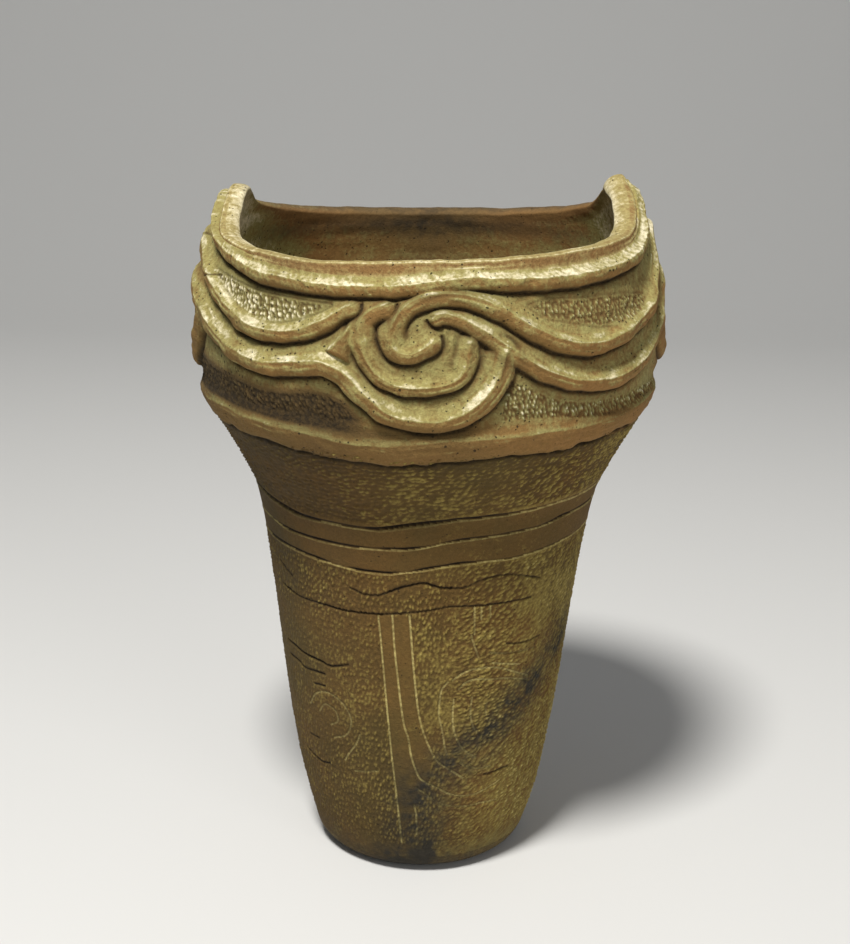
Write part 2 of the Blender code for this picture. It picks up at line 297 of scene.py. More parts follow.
bpy.ops.object.select_all(action="DESELECT")
bpy.ops.mesh.primitive_cylinder_add(
    vertices=BODY_AROUND,
    radius=SLAB_RADIUS * MM,
    depth=FLOOR_HEIGHT * MM,
    end_fill_type="NGON",
    location=(0, 0, FLOOR_HEIGHT / 2 * MM),
)
base = bpy.context.object
base.name = "base_slab"
bpy.ops.object.transform_apply(location=True, rotation=False, scale=False)
bpy.ops.object.mode_set(mode="EDIT")
bpy.ops.mesh.select_mode(type="EDGE")
cut_edges(base, FOOT_ROWS, lambda edge, a, b: abs(a.z - b.z) > FLOOR_HEIGHT * MM / 2)
bpy.ops.mesh.select_mode(type="FACE")
for end in (-1, 1):
    base_mesh = bmesh.from_edit_mesh(base.data)
    for face in base_mesh.faces:
        face.select_set(face.normal.z * end > 0.9)
    bmesh.update_edit_mesh(base.data)
    for inset in CAP_INSETS:
        bpy.ops.mesh.inset(thickness=inset * MM)
    bpy.ops.mesh.poke()
bpy.ops.object.mode_set(mode="OBJECT")

place = coordinates(base) / MM
reach = np.hypot(place[:, 0], place[:, 1])
angle = angle_of(place)
height = place[:, 2]
side = FLAT_RADIUS + np.sqrt(FOOT_ROUNDING**2 - (FOOT_ROUNDING - height) ** 2)
rim = reach > SLAB_RADIUS - 0.1
radius = np.where(rim, side, reach * side / SLAB_RADIUS)
spot = round_axis(side, angle, height)
swell = hand_swell(spot)
radius = radius + np.where(rim, swell * np.clip(height / 6, 0.25, 1), 0)
lift = np.where(height < 0.01, np.abs(swell) * 0.25 * eased((reach - 20) / 30), 0)
points = round_axis(radius, angle, height + lift)
outer = rim & (height > 0.01)
smoke_cloud = np.exp(-((np.radians(angle + 5) * side / 16) ** 2))
notes = {
    "film_and_painted_light": np.where(outer, 0.2 + patchy_film(spot), 0.15),
    # Painted shade along the bottom 3.5 mm of the wall, where it meets the floor.
    "hollow_shade": np.where(outer, 0.5 * eased(1 - height / 3.5), 0.15),
    "dust_and_groove_light": np.zeros(len(points)),
    "soot": np.where(outer, ember_smoke(spot) + 0.5 * smoke_cloud, 0.45),
    "warm": np.full(len(points), 0.15),
}
seam = height > FLOOR_HEIGHT - 0.01
give_surface(base, points * MM, notes, np.array([0.0, 0.0, 0.4]), seam, foot_clay)
stand_for(base, "base_disc")


# Body coils: six flat coils of clay, each joined to the one below with a slanting seam and wiped over.
# A twisted cord was rolled over the wet wall, then bands were smoothed and lines cut with a stick. A cloud
# of smoke from the fire crosses the front.
WALL_OUTLINE = [
    (11, 61.9), (42, 70.4), (94, 79.1), (168, 88.0), (217, 96.5), (237, 105.2), (252, 113.5),
    (263, 120.0), (285, 125.5), (310, 127.0), (330, 125.2), (350, 120.5), (370, 114.0), (396, 103.0),
]
BODY_SEAMS = [11, 47, 83, 119, 155, 191, 226]
BODY_THICKNESS = 9.0
COLLAR_THICKNESS = 10.0
COLLAR_FLOOR = 263.0
SCARF = 5.0
FAR_AWAY = 1000.0
BODY_ROWS = 60
BODY_INNER_ROWS = 6
# Cord marks: their spacing across and down, then the half length and half width of the bump between dents
SLANTED_CORD = (3.5, 2.1, (1.5, 0.62))
UPRIGHT_CORD = (2.2, 3.2, (1.4, 0.62))
SHOULDER_CORD = (3.8, 2.4, (1.6, 0.68))

# Rings cut round the jar: height by angle, depth by angle, and half width
RINGS = [
    ([(-90, 221), (-67, 220), (-54, 217.3), (-44, 215.5), (-35, 216), (-20, 216.1), (-14, 216.2), (-8, 218),
      (0, 220.4), (10, 222.9), (23, 224), (37, 225.4), (53, 226.8), (90, 227.5)],
     [(-90, 0.4), (-66, 1.3), (-50, 1.5), (-30, 1.1), (-20, 0.8), (-12, 1.7), (4, 1.5), (14, 0.7),
      (30, 0.4), (50, 0.25), (90, 0.25)], 0.85),
    ([(-90, 205.5), (-65, 206), (-51, 204.1), (-36, 204), (-21, 204.3), (-8, 205.1), (0, 207), (11, 210.7),
      (24, 212), (40, 213.5), (54, 216.5), (69, 217), (90, 217.5)],
     [(-90, 0.2), (-58, 0.35), (-50, 1.1), (-35, 1.0), (-18, 0.6), (-3, 0.8), (3, 0.25), (12, 0.7),
      (30, 0.5), (40, 0.3), (48, 0.8), (60, 0.9), (90, 0.3)], 0.75),
    ([(-90, 194.5), (-60, 194.3), (-47, 193.4), (-29, 191.6), (-15, 190.4), (-8, 191.4), (5, 195.2),
      (18, 197.2), (33, 197.5), (52, 200), (64, 201), (90, 202)],
     [(-90, 0.4), (-60, 0.9), (-40, 1.0), (-33, 0.35), (-27, 0.15), (-22, 1.0), (-12, 0.9), (-7, 0.25),
      (2, 0.9), (13, 0.8), (22, 0.3), (50, 0.4), (65, 0.3), (90, 0.2)], 0.75),
]
# Lines cut on the front, and again on the back: points as (angle, height), depth, half width, pale filling
LINES = [
    ([(-63, 167.1), (-58, 165.9), (-51, 164.9), (-40, 165.4), (-29, 164.8), (-15, 165.5)], 1.3, 0.7, 0.0),
    ([(-15, 165.5), (-8, 167.1), (2, 169.5), (9, 171.3), (24, 170.8), (36, 170.8), (41, 170.5)],
     0.9, 0.6, 0.1),
    ([(-26, 179), (-21.6, 176.6), (-16, 176.9), (-11.5, 179.7)], 1.0, 0.6, 0.15),
    ([(-11.5, 179.7), (-7, 182.7), (0, 185.5), (3, 184), (5.7, 182.8), (9.4, 182.3)], 1.5, 0.8, 0.0),
    ([(9.4, 182.3), (14, 182.5), (18.3, 185.2), (26, 187.5), (32, 186.6), (44, 181.2)], 0.8, 0.6, 0.2),
    ([(-62.9, 180.8), (-57, 177), (-54, 174.9)], 0.9, 0.7, 0.0),
    ([(-16.1, 164.7), (-15.3, 147.6), (-14.2, 120.5), (-13.2, 99), (-12.2, 78), (-10.7, 55.2), (-9.7, 35.8),
      (-9.2, 21)], 0.6, 0.7, 0.95),
    ([(-11, 165.6), (-10.3, 145.4), (-8.8, 121.4), (-7, 99.9), (-5.4, 91.8), (-4.2, 80.9), (-2.5, 72.6),
      (-0.4, 66.1), (2.7, 62.8), (6.7, 60), (10.8, 56.4), (15.4, 53.8), (20.2, 52.6), (26.1, 52.5),
      (32.6, 54.8), (38, 57.5)], 0.6, 0.7, 0.9),
    ([(-4.9, 166.2), (-3.5, 137.1), (-2.5, 121.9), (-1.5, 109.6), (-0.3, 100.3), (1.8, 90.9), (4.4, 82.5),
      (7, 76.5), (10.5, 72.6), (14.6, 68.5), (18.4, 64.5)], 0.6, 0.7, 0.9),
    ([(-2, 60.1), (1.5, 56.2), (5.1, 52.5)], 0.6, 0.8, 0.7),
    ([(-2.9, 48), (-1.9, 41.3), (-1.6, 27.5)], 0.55, 0.9, 0.8),
    ([(9.7, 48.5), (13.5, 46.7), (20.7, 45.1), (28.3, 45.1), (38, 44.1)], 0.7, 0.75, 0.6),
    ([(11.4, 127.1), (14, 129.9), (17.8, 132.4), (21.7, 132.9), (25.8, 132.8), (30.2, 131.4), (35.1, 128.3),
      (45.2, 121.4)], 0.6, 0.75, 0.75),
    ([(14, 121.3), (16.2, 124.7), (20, 126.5), (26.3, 125.4), (33.1, 124), (40.8, 121), (45.6, 118.4)],
     0.6, 0.75, 0.75),
    ([(9.6, 126.1), (7.4, 121.9), (6.8, 115.8), (6.6, 106.5), (8.1, 97), (9.6, 85.4), (10.6, 80.8)],
     0.6, 0.75, 0.75),
    ([(12.2, 115.3), (12.1, 107.9), (12.4, 99.8), (13.9, 92), (16.8, 84.5), (19.6, 80.7), (23, 77.3)],
     0.6, 0.75, 0.75),
    ([(16.5, 74.7), (20.2, 71.7), (25, 69.6), (31, 69.2)], 0.6, 0.7, 0.6),
    ([(28.4, 64.7), (31.5, 64.4), (36.8, 65.2), (41.4, 65.3)], 0.8, 0.65, 0.1),
    ([(25.3, 141.8), (31.8, 139.7), (41.5, 138.5), (47.1, 138.1)], 0.8, 0.65, 0.3),
    ([(32.3, 145.6), (38.4, 143.9), (43.6, 143.8), (49.2, 144.5)], 0.8, 0.65, 0.2),
    ([(26.9, 135.3), (33.7, 132.7), (39.8, 130.6)], 0.5, 0.7, 0.7),
    ([(19.5, 116), (19.3, 106), (21, 97), (25, 90.5), (31, 88), (38, 90)], 0.4, 0.7, 0.5),
    ([(26, 111), (26, 104), (30, 99), (36, 99), (40, 104)], 0.35, 0.7, 0.45),
    ([(20.6, 170.2), (21, 162.4)], 0.6, 0.8, 0.7),
    ([(24, 170.1), (24.5, 162.9)], 0.6, 0.8, 0.7),
    ([(18, 170.1), (18.8, 153.9)], 0.5, 0.8, 0.6),
    ([(17.6, 153.5), (19.1, 146.7), (21, 139.7)], 0.55, 0.75, 0.6),
    ([(-34.6, 70.3), (-31.4, 76.7), (-28, 83.1), (-25.7, 89.6)], 0.55, 0.75, 0.55),
    ([(-29.8, 64.9), (-24.3, 66.3), (-18.6, 68.2)], 0.6, 0.7, 0.6),
    ([(-52, 99), (-47, 107.5), (-40, 111), (-33, 107), (-29.5, 98), (-32, 88), (-39, 83)], 0.4, 0.7, 0.45),
    ([(-46, 97), (-42, 103), (-37, 101), (-36, 95), (-40, 91)], 0.35, 0.7, 0.4),
    ([(-66, 131.2), (-59, 131.2), (-53, 130), (-43, 129.3), (-37.6, 128.3), (-29, 132)], 1.2, 0.75, 0.0),
    ([(-65, 122.6), (-56.6, 122.7), (-53, 120.8), (-46.4, 121.5), (-41.2, 121.9)], 1.4, 0.8, 0.0),
    ([(-47.3, 113.7), (-41.4, 114.5)], 1.0, 0.7, 0.0),
    ([(-55.6, 77.9), (-48.7, 78.2)], 0.9, 0.7, 0.0),
    ([(-61.6, 65.6), (-55.3, 63.8), (-49.9, 62.7), (-44.1, 64.2)], 1.0, 0.7, 0.0),
]
SMOOTHED_LEFT = [(40, -10), (78, -12.2), (120, -14.2), (168, -16.2)]
SMOOTHED_RIGHT = [(40, -4), (66, 3), (82, 4.4), (91, 1.8), (110, -1.5), (137, -3.5), (168, -4.9)]
FIRE_CLOUD = [
    (72, 137), (53, 121.4), (42, 109.3), (30.7, 95.8), (18.2, 82.9), (3.9, 66), (-1, 50), (-5, 12),
]


def smooth_curve(points, x):
    """The smooth curve through (x, y) points, read at x, straight past its ends."""
    at, value = np.array(points, float).T
    slope = np.empty(len(at))
    slope[1:-1] = (value[2:] - value[:-2]) / (at[2:] - at[:-2])
    slope[0] = (value[1] - value[0]) / (at[1] - at[0])
    slope[-1] = (value[-1] - value[-2]) / (at[-1] - at[-2])
    k = np.clip(np.searchsorted(at, x) - 1, 0, len(at) - 2)
    span = at[k + 1] - at[k]
    t = np.clip((x - at[k]) / span, 0, 1)
    rise = value[k + 1] - value[k]
    bend = t * (1 - t) * ((slope[k] * span - rise) * (1 - t) - (slope[k + 1] * span - rise) * t)
    past = slope[0] * np.minimum(x - at[0], 0) + slope[-1] * np.maximum(x - at[-1], 0)
    return value[k] + rise * t + bend + past


def wall_radius(height):
    """Radius of the smooth outer wall."""
    return smooth_curve(WALL_OUTLINE, height)


def wall_slope(height):
    """How fast the outer wall widens upwards."""
    return wall_radius(height + 0.5) - wall_radius(height - 0.5)


def on_wall(angle, height, lift):
    """Points that stand lift off the outer wall, square to it, in metres."""
    slope = wall_slope(height)
    square = np.sqrt(1 + slope**2)
    radius = wall_radius(height) + lift / square
    return round_axis(radius, angle, height - lift * slope / square) * MM


def up_the_wall(angle, height):
    """The direction up along the outer wall at each point."""
    slope = wall_slope(height)
    return round_axis(slope, angle, np.ones(len(height))) / np.sqrt(1 + slope**2)[:, None]


def of_the_face(angle):
    """The angle from the middle of the front, or of the back for points behind."""
    return (angle + 90) % 180 - 90


def folded(angle):
    """The angle on the front, with the back mirrored onto it, so that rings close."""
    angle = (angle + 180) % 360 - 180
    return np.where(np.abs(angle) <= 90, angle, np.sign(angle) * (180 - np.abs(angle)))


def cord_marks(angle, height, cord, tilt, seed):
    """Bumps between the dents of a rolled cord, 0 to 1, in rows that wander and wear away in places."""
    across, down, (half_length, half_width) = cord
    spot = round_axis(wall_radius(height), angle, height)
    level = (height + 1.3 * mottle(spot, 26, seed) + 0.5 * mottle(spot, 9, seed + 1)) / down
    row = np.floor(level)
    high = np.zeros(len(angle))
    lean_cos, lean_sin = np.cos(np.radians(tilt)), np.sin(np.radians(tilt))
    for step in (-1, 0, 1):
        line = row + step
        count = np.round(2 * np.pi * wall_radius(line * down) / across)
        slot = angle / 360 * count + chance(seed + 2, line) * 3
        cell = np.floor(slot)
        for beside in (-1, 0, 1):
            index = np.mod(cell + beside, count)
            side = (slot - cell - beside - 0.5 - 0.7 * (chance(seed + 3, line, index) - 0.5)) * across
            over = (level - line - 0.5 - 0.6 * (chance(seed + 4, line, index) - 0.5)) * down
            swing = 0.5 * (chance(seed + 6, line, index) - 0.5)
            along = side * (lean_cos - swing * lean_sin) + over * (lean_sin + swing * lean_cos)
            thick = over * (lean_cos - swing * lean_sin) - side * (lean_sin + swing * lean_cos)
            size = 0.75 + 0.5 * chance(seed + 7, line, index)
            strength = 0.35 + 0.65 * chance(seed + 5, line, index)
            bump = strength * np.exp(-((along / half_length / size) ** 2) - (thick / half_width) ** 2)
            high = np.maximum(high, bump)
    return high


def run_along(steps_across, steps_up):
    """The length run from the start of a line to each of its points."""
    return np.concatenate([[0], np.cumsum(np.hypot(steps_across, steps_up))])


def distance_to(line_angle, line_height, close, angle, height):
    """How far the close points of the wall are from a line; the others count as far away."""
    far = np.full(len(angle), FAR_AWAY)
    for some in np.array_split(close, len(close) // 6000 + 1):
        per_degree = np.radians(1) * wall_radius(height[some])
        sideways = (angle[some, None] - line_angle) * per_degree[:, None]
        far[some] = np.sqrt((sideways**2 + (height[some, None] - line_height) ** 2).min(axis=1))
    return far


def line_distance(points, angle, height):
    """How far each point of the wall is from a line cut in it, measured near the line only."""
    drawn = np.array(points, float)
    run = run_along(np.diff(drawn[:, 0]) * 1.5, np.diff(drawn[:, 1]))
    stops = np.linspace(0, run[-1], int(run[-1] / 0.35) + 2)
    line_angle = smooth_curve(list(zip(run, drawn[:, 0])), stops)
    line_height = smooth_curve(list(zip(run, drawn[:, 1])), stops)
    close = (angle > line_angle.min() - 5) & (angle < line_angle.max() + 5)
    close &= (height > line_height.min() - 5) & (height < line_height.max() + 5)
    return distance_to(line_angle, line_height, np.flatnonzero(close), angle, height)


def cloud_distance(points, angle, height):
    """How far each point is from the middle of a broad mark, such as a cloud of smoke."""
    drawn = np.array(points, float)
    corners = np.arange(len(drawn))
    stops = np.linspace(0, len(drawn) - 1, 80)
    line_angle = np.interp(stops, corners, drawn[:, 0])
    line_height = np.interp(stops, corners, drawn[:, 1])
    close = (np.abs(angle) < 110) & (height < line_height.max() + 40)
    return distance_to(line_angle, line_height, np.flatnonzero(close), angle, height)


def body_skin(angle, height):
    """Height of the body's surface over the smooth wall, and notes on what lies on it and on its painted
    light and shade.
    """
    radius = wall_radius(height)
    turn = np.radians(angle)
    spot = round_axis(radius, angle, height)
    face = of_the_face(angle)
    mirrored = folded(angle)
    lift = hand_swell(spot)

    tops = [smooth_curve(route, mirrored) for route, _, _ in RINGS]
    corded = np.maximum(eased((height - tops[0] - 1.5) / 2), eased((tops[2] - 1.0 - height) / 2))
    left = smooth_curve(SMOOTHED_LEFT, height)
    right = smooth_curve(SMOOTHED_RIGHT, height)
    panel = np.minimum(face - left, right - face) * np.radians(1) * radius
    panel = eased(panel / 1.5 + 0.3) * eased((167 - height) / 3) * eased((height - 30) / 20)
    corded *= 1 - panel
    corded *= 0.6 + 0.4 * np.clip(1.5 * mottle(spot, 34, 5) + 0.6, 0, 1)
    corded *= 1 - 0.9 * eased((25 - height) / 14)
    corded *= 1 - 0.3 * eased((164 - height) / 8) * eased((-face - 14) / 8) * eased((face + 86) / 14)
    tilt = 16 + 14 * eased((face + 10) / 40) * eased((90 - face) / 30) + 6 * mottle(spot, 40, 6)
    rows = cord_marks(angle, height, SLANTED_CORD, tilt, 11)
    upright = cord_marks(angle, height, UPRIGHT_CORD, 70 + 8 * mottle(spot, 40, 7), 21)
    steep = eased((196 - height) / 8) * eased((face + 78) / 14) * eased((16 - face) / 10)
    bumps = rows * (1 - steep) + upright * steep
    shoulder = eased((height - 212) / 6)
    bumps = bumps * (1 - shoulder) + shoulder * cord_marks(angle, height, SHOULDER_CORD, tilt, 26)
    lift += corded * (1.15 + 0.35 * shoulder) * (bumps - 0.4)
    # Painted shade in the dents between the cord marks.
    hollow_shade = (0.9 + 0.5 * shoulder) * corded * np.clip(0.42 - bumps, 0, 1)

    off_line = np.full(len(angle), 9.0)
    dust_and_groove_light = np.zeros(len(angle))
    for (_, depths, half), top in zip(RINGS, tops):
        off = height - top + 0.3 * mottle(spot, 9, 34)
        deep = np.interp(mirrored, *np.array(depths, float).T) * (0.95 + 0.5 * mottle(spot, 9, 31))
        deep = np.maximum(deep, 0.15)
        wide = half * (0.55 + 0.35 * np.minimum(deep, 1.4))
        cut = np.exp(-((off / wide) ** 2))
        lift += -1.1 * deep * cut + 0.2 * np.exp(-(((off + 1.9 * half) / half) ** 2))
        hollow_shade += 0.7 * np.clip(1.4 * deep - 0.1, 0, 1.2) * cut
        # Each ring gets a painted shade in its groove and a painted highlight along its lower lip.
        dark_groove = (-0.1, -np.clip(1.5 * deep - 0.2, 0, 1))
        pale_edge = (1.5 * wide, 0.6 * np.clip(1.3 - deep, 0.3, 1))
        for middle, share in (dark_groove, pale_edge):
            edge = (0.62 * (off + middle) / wide) ** 2
            dust_and_groove_light = np.where(edge < off_line, share, dust_and_groove_light)
            off_line = np.minimum(edge, off_line)
    for points, depth, half, pale in LINES:
        off = line_distance(points, face, height)
        cut = np.exp(-((off / half) ** 2))
        lift -= depth * cut * (0.8 + 0.4 * mottle(spot, 12, 32))
        lift += 0.12 * np.exp(-(((off - 2 * half) / half) ** 2))
        # Lines with pale filling hold pale dust; the others get a painted shade in their groove.
        hollow_shade += 0.6 * cut * (1 - pale)
        share = 0.95 * pale if pale > 0.25 else (pale - 1) * min(1, depth / 1.1)
        share = share * np.clip(0.85 + 0.5 * mottle(spot, 10, 33), 0.4, 1)
        dust_and_groove_light = np.where(off**2 < off_line, share, dust_and_groove_light)
        off_line = np.minimum(off**2, off_line)

    wide = 16 + 5 * mottle(spot, 30, 47) + 4 * eased((70 - height) / 40)
    drift = spot + 5 * np.column_stack([mottle(spot, 13, seed) for seed in (35, 36, 37)])
    thin = np.clip(0.85 + 0.4 * mottle(drift, 11, 41) + 0.35 * mottle(drift, 4, 48), 0, 1)
    smoke = thin * np.exp(-((cloud_distance(FIRE_CLOUD, angle, height) / wide) ** 2))
    smoke *= 1 - 0.8 * corded * bumps
    smoke += ember_smoke(spot)
    smoke += 0.5 * np.clip(mottle(spot, 46, 43) - 0.45, 0, 1)
    smoke += (0.18 + 0.24 * eased((height - 200) / 30)) * eased(-np.sin(turn) / 0.7)
    smoke += 0.55 * eased((-np.cos(turn) - 0.1) / 0.8) * np.clip(mottle(spot, 60, 44) + 0.1, 0, 1)
    band = eased((height - tops[2] + 1) / 2) * eased((tops[0] + 1 - height) / 2)
    hollow_shade += 0.22 * band
    warm = 0.2 + 0.35 * mottle(spot, 40, 45) + 0.06 * band
    warm += 0.55 * eased(np.sin(turn) / 0.75) * eased((190 - height) / 60)
    # Film is lighter on the bumps of the cord marks: painted light on them, with the film.
    film_and_painted_light = 0.2 + 0.1 * corded + 0.62 * corded * (bumps - 0.38) + patchy_film(spot)
    film_and_painted_light += 0.2 * np.sin(turn) - 0.28 * panel - 0.26 * band - 0.06 * eased((height - 190) / 50)
    film_and_painted_light += 0.16 * eased((np.sin(turn) - 0.15) / 0.3) * eased((185 - height) / 20)
    notes = {"hollow_shade": np.clip(hollow_shade, 0, 1), "soot": np.clip(smoke, 0, 1), "warm": np.clip(warm, 0, 1)}
    return lift, {"film_and_painted_light": film_and_painted_light, "dust_and_groove_light": dust_and_groove_light, "off_line": off_line, **notes}


def inner_skin(angle, height):
    """Points of the wiped inside of the wall, in metres, and what lies on it, with painted light towards the
    sides.
    """
    thickness = BODY_THICKNESS + np.clip((height - 226) / (COLLAR_FLOOR - 226), 0, 1)
    radius = wall_radius(height) - thickness
    spot = round_axis(radius, angle, height)
    wiped = np.column_stack([spot[:, 0] / 6, spot[:, 1] / 6, spot[:, 2]])
    radius = radius + 0.6 * mottle(spot, 40, 51) + 0.3 * mottle(wiped, 4, 52)
    points = round_axis(radius, angle, height)
    sideways = np.abs(np.sin(np.radians(angle)))
    behind = eased((-np.cos(np.radians(angle)) - 0.2) / 0.5)
    band = np.exp(-(((height - 348) / 7) ** 2)) * behind
    under_lip = behind * eased((height - 341) / 12)
    # Painted light: the inner wall is painted lighter, with less soot, towards the sides, which lie in
    # shade; it is also warmer there.
    soot = 0.22 - 0.5 * sideways + 0.22 * mottle(spot, 45, 53) + 0.5 * band
    soot += 0.25 * under_lip + 0.2 * eased((250 - height) / 100)
    warm = 0.2 + 0.75 * eased((sideways - 0.1) / 0.6)
    film_and_painted_light = 0.5 + 0.3 * mottle(wiped, 5, 54) + 0.16 * mottle(spot, 14, 55) - 0.35 * under_lip
    film_and_painted_light += 0.6 * sideways - 0.55 * behind
    nothing = np.zeros(len(angle))
    notes = {"film_and_painted_light": film_and_painted_light, "hollow_shade": nothing + 0.1, "dust_and_groove_light": nothing.copy(), "off_line": nothing + 9,
             "soot": np.clip(soot, 0, 1), "warm": warm, "worn_and_painted_light": nothing.copy(), "wiped": nothing + 1}
    return points * MM, notes


def clay_ring(name, around, rows, inner_rows, radius, low, high, thickness):
    """A coil as a ring: an open cylinder cut into rows, lapped over the top, and closed down the inside.
    Gives the ring, and for each point its angle, its share of the height, and whether it is outside."""
    deep = (high - low) * MM
    bpy.ops.object.select_all(action="DESELECT")
    bpy.ops.mesh.primitive_cylinder_add(
        vertices=around,
        radius=radius * MM,
        depth=deep,
        end_fill_type="NOTHING",
        location=(0, 0, (low + high) / 2 * MM),
    )
    ring = bpy.context.object
    ring.name = name
    bpy.ops.object.transform_apply(location=True, rotation=False, scale=False)
    bpy.ops.object.mode_set(mode="EDIT")
    bpy.ops.mesh.select_mode(type="EDGE")
    cut_edges(ring, rows, lambda edge, a, b: abs(a.z - b.z) > deep / 2)
    top = high * MM - deep * 0.2 / rows
    pick_edges(ring, lambda edge, a, b: a.z > top and b.z > top)
    inwards = 1 - thickness / radius
    bpy.ops.mesh.extrude_edges_move()
    bpy.ops.transform.resize(value=(inwards, inwards, 1))
    bpy.ops.mesh.extrude_edges_move(TRANSFORM_OT_translate={"value": (0, 0, -deep)})
    cut_edges(ring, inner_rows, lambda edge, a, b: abs(a.z - b.z) > deep / 2)
    bottom = low * MM + deep * 0.2 / rows
    pick_edges(ring, lambda edge, a, b: a.z < bottom and b.z < bottom and edge.is_boundary)
    bpy.ops.mesh.bridge_edge_loops()
    bpy.ops.mesh.select_all(action="SELECT")
    bpy.ops.mesh.normals_make_consistent(inside=False)
    bpy.ops.object.mode_set(mode="OBJECT")
    place = coordinates(ring) / MM
    outer = np.hypot(place[:, 0], place[:, 1]) > radius - thickness / 2
    share = np.clip((place[:, 2] - low) / (high - low), 0, 1)
    return ring, angle_of(place), share, outer


def course(name, around, rows, inner_rows, low, high, skin, material, node, scarfs=(SCARF, SCARF)):
    """One coil of the wall up to a seam at high, with its skin outside and a wiped face inside."""
    top_of = high if callable(high) else lambda angle: np.full(len(angle), float(high))
    flat_top = float(np.mean(top_of(np.arange(360.0))))
    ring, angle, share, outer = clay_ring(
        name, around, rows, inner_rows, float(wall_radius(low)), low, flat_top, BODY_THICKNESS
    )
    top = top_of(angle)
    height = low + (top - low) * share
    inside = low + scarfs[0] + (top + scarfs[1] - low - scarfs[0]) * share
    points, notes = inner_skin(angle, inside)
    lift, over = skin(angle[outer], height[outer])
    points[outer] = on_wall(angle[outer], height[outer], lift)
    for note, values in notes.items():
        values[outer] = over.get(note, 0.0)
    seam = (share < 0.001) | (share > 0.999)
    give_surface(ring, points, notes, up_the_wall(angle, height) * outer[:, None], seam, material)
    stand_for(ring, node)


body_clay = fired_clay(
    "corded_body_clay", (92, 75, 38), (124, 89, 44), (141, 123, 63), (200, 184, 118),
    roughness=0.86, pitted=0.24,
)
for number, (low, high) in enumerate(zip(BODY_SEAMS, BODY_SEAMS[1:]), start=1):
    course(
        f"body_coil_{number}", BODY_AROUND, BODY_ROWS, BODY_INNER_ROWS, low, high, body_skin, body_clay,
        f"wall_course_{number}", scarfs=(0 if number == 1 else SCARF, SCARF),
    )


# Waist rope: a thick roll of clay pressed over the joint of shoulder and collar, drawn out along its
# length with wet fingers. Like every rope on the collar it has a long slope above and a tucked-in foot, and
# all of them are laid out here, because the clay of one runs into the next.
ROPE_RISE = 0.45
GIRDLE_WIDTH = 13.0
GIRDLE_RISE = 3.4
COLLAR_AROUND = 1100
EDGE_DIVE = 0.95
DRAWN_OUT = 0.28
# How a rope sits, per half width: crown above its middle, then how far the slope above and the face below
# reach beyond its half width
HANGING = (0.25, 1.0, 0.42)
STANDING = (0.0, 1.0, 0.05)
GIRDLE_BUILD = (0.5, 0.8, 0.85)


def lean(angle):
    """How much higher the right side of the collar stands than the middle."""
    return 4.0 * np.sin(np.radians(angle)) ** 3


LIP_FOOT = 11.0
CREST = [
    (-180, 359.5), (-164, 359.5), (-146, 361.6), (-135, 363.8), (-125, 366.6), (-114, 370.6), (-107, 374.5),
    (-102, 379), (-96, 382.4), (-90, 383), (-85, 381), (-79, 375), (-73, 367.5), (-66, 362.5), (-57, 360),
    (-45, 358.3), (-35, 357.2), (-26, 357), (-15, 358.2), (0, 359.6), (16, 360.4), (31, 361.6), (44, 363.4),
    (53, 364.6), (62, 367), (69, 371.5), (75, 377.5), (81, 384), (86, 388.4), (91, 392), (96, 388.4),
    (101, 385), (107, 381), (112, 377), (117, 373), (125, 369.4), (135, 365.6), (150, 362), (167, 360),
    (180, 359.5),
]


def lip_height(angle):
    """Crest of the lip: nearly level at the front and back, with a peak at each side."""
    return smooth_curve(CREST, (angle + 180) % 360 - 180)


GIRDLE = [
    (-90, 273), (-75, 273.5), (-64, 273), (-53, 271), (-42, 270), (-30, 268.6), (-20, 266.7), (-11, 265.1),
    (-5, 265.8), (3, 267.9), (12, 269), (32, 269.9), (46, 270.3), (57, 272.4), (67, 274.3), (80, 274),
    (90, 273),
]


def girdle_height(angle):
    """Height of the middle of the waist rope."""
    return smooth_curve(GIRDLE, of_the_face(angle)) + lean(angle) / 2


def rope_form(offset, half, rise, upper, build):
    """Height of a rope, the cut along its edge and its reach, at this offset from its crown. upper is 1 on
    the side that faces up, which slopes away, and 0 on the side that faces down, which is round."""
    _, cove, tuck = build
    extent = half * (1 + tuck + (cove - tuck) * upper)
    x = np.clip(offset / extent, 0, 1)
    blunt = np.sqrt(x * x + 0.009) - 0.095
    hollowed = np.clip(1 - blunt, 0, 1) ** 3.6
    rounded = (1 - x**2.2) ** 0.58
    form = rise * (hollowed * upper + rounded * (1 - upper))
    cut = 1.3 * (1 - upper) * np.exp(-(((offset - extent - 0.2) / 1.2) ** 2))
    return form, cut, extent


def shadow_below_rope(offset, extent, upper):
    """Painted shadow under a rope, fading out down the wall."""
    faded = np.exp(-((np.maximum(offset - extent, 0) / 4.0) ** 2))
    return (1 - upper) * faded * eased((offset / extent - 0.7) / 0.3)


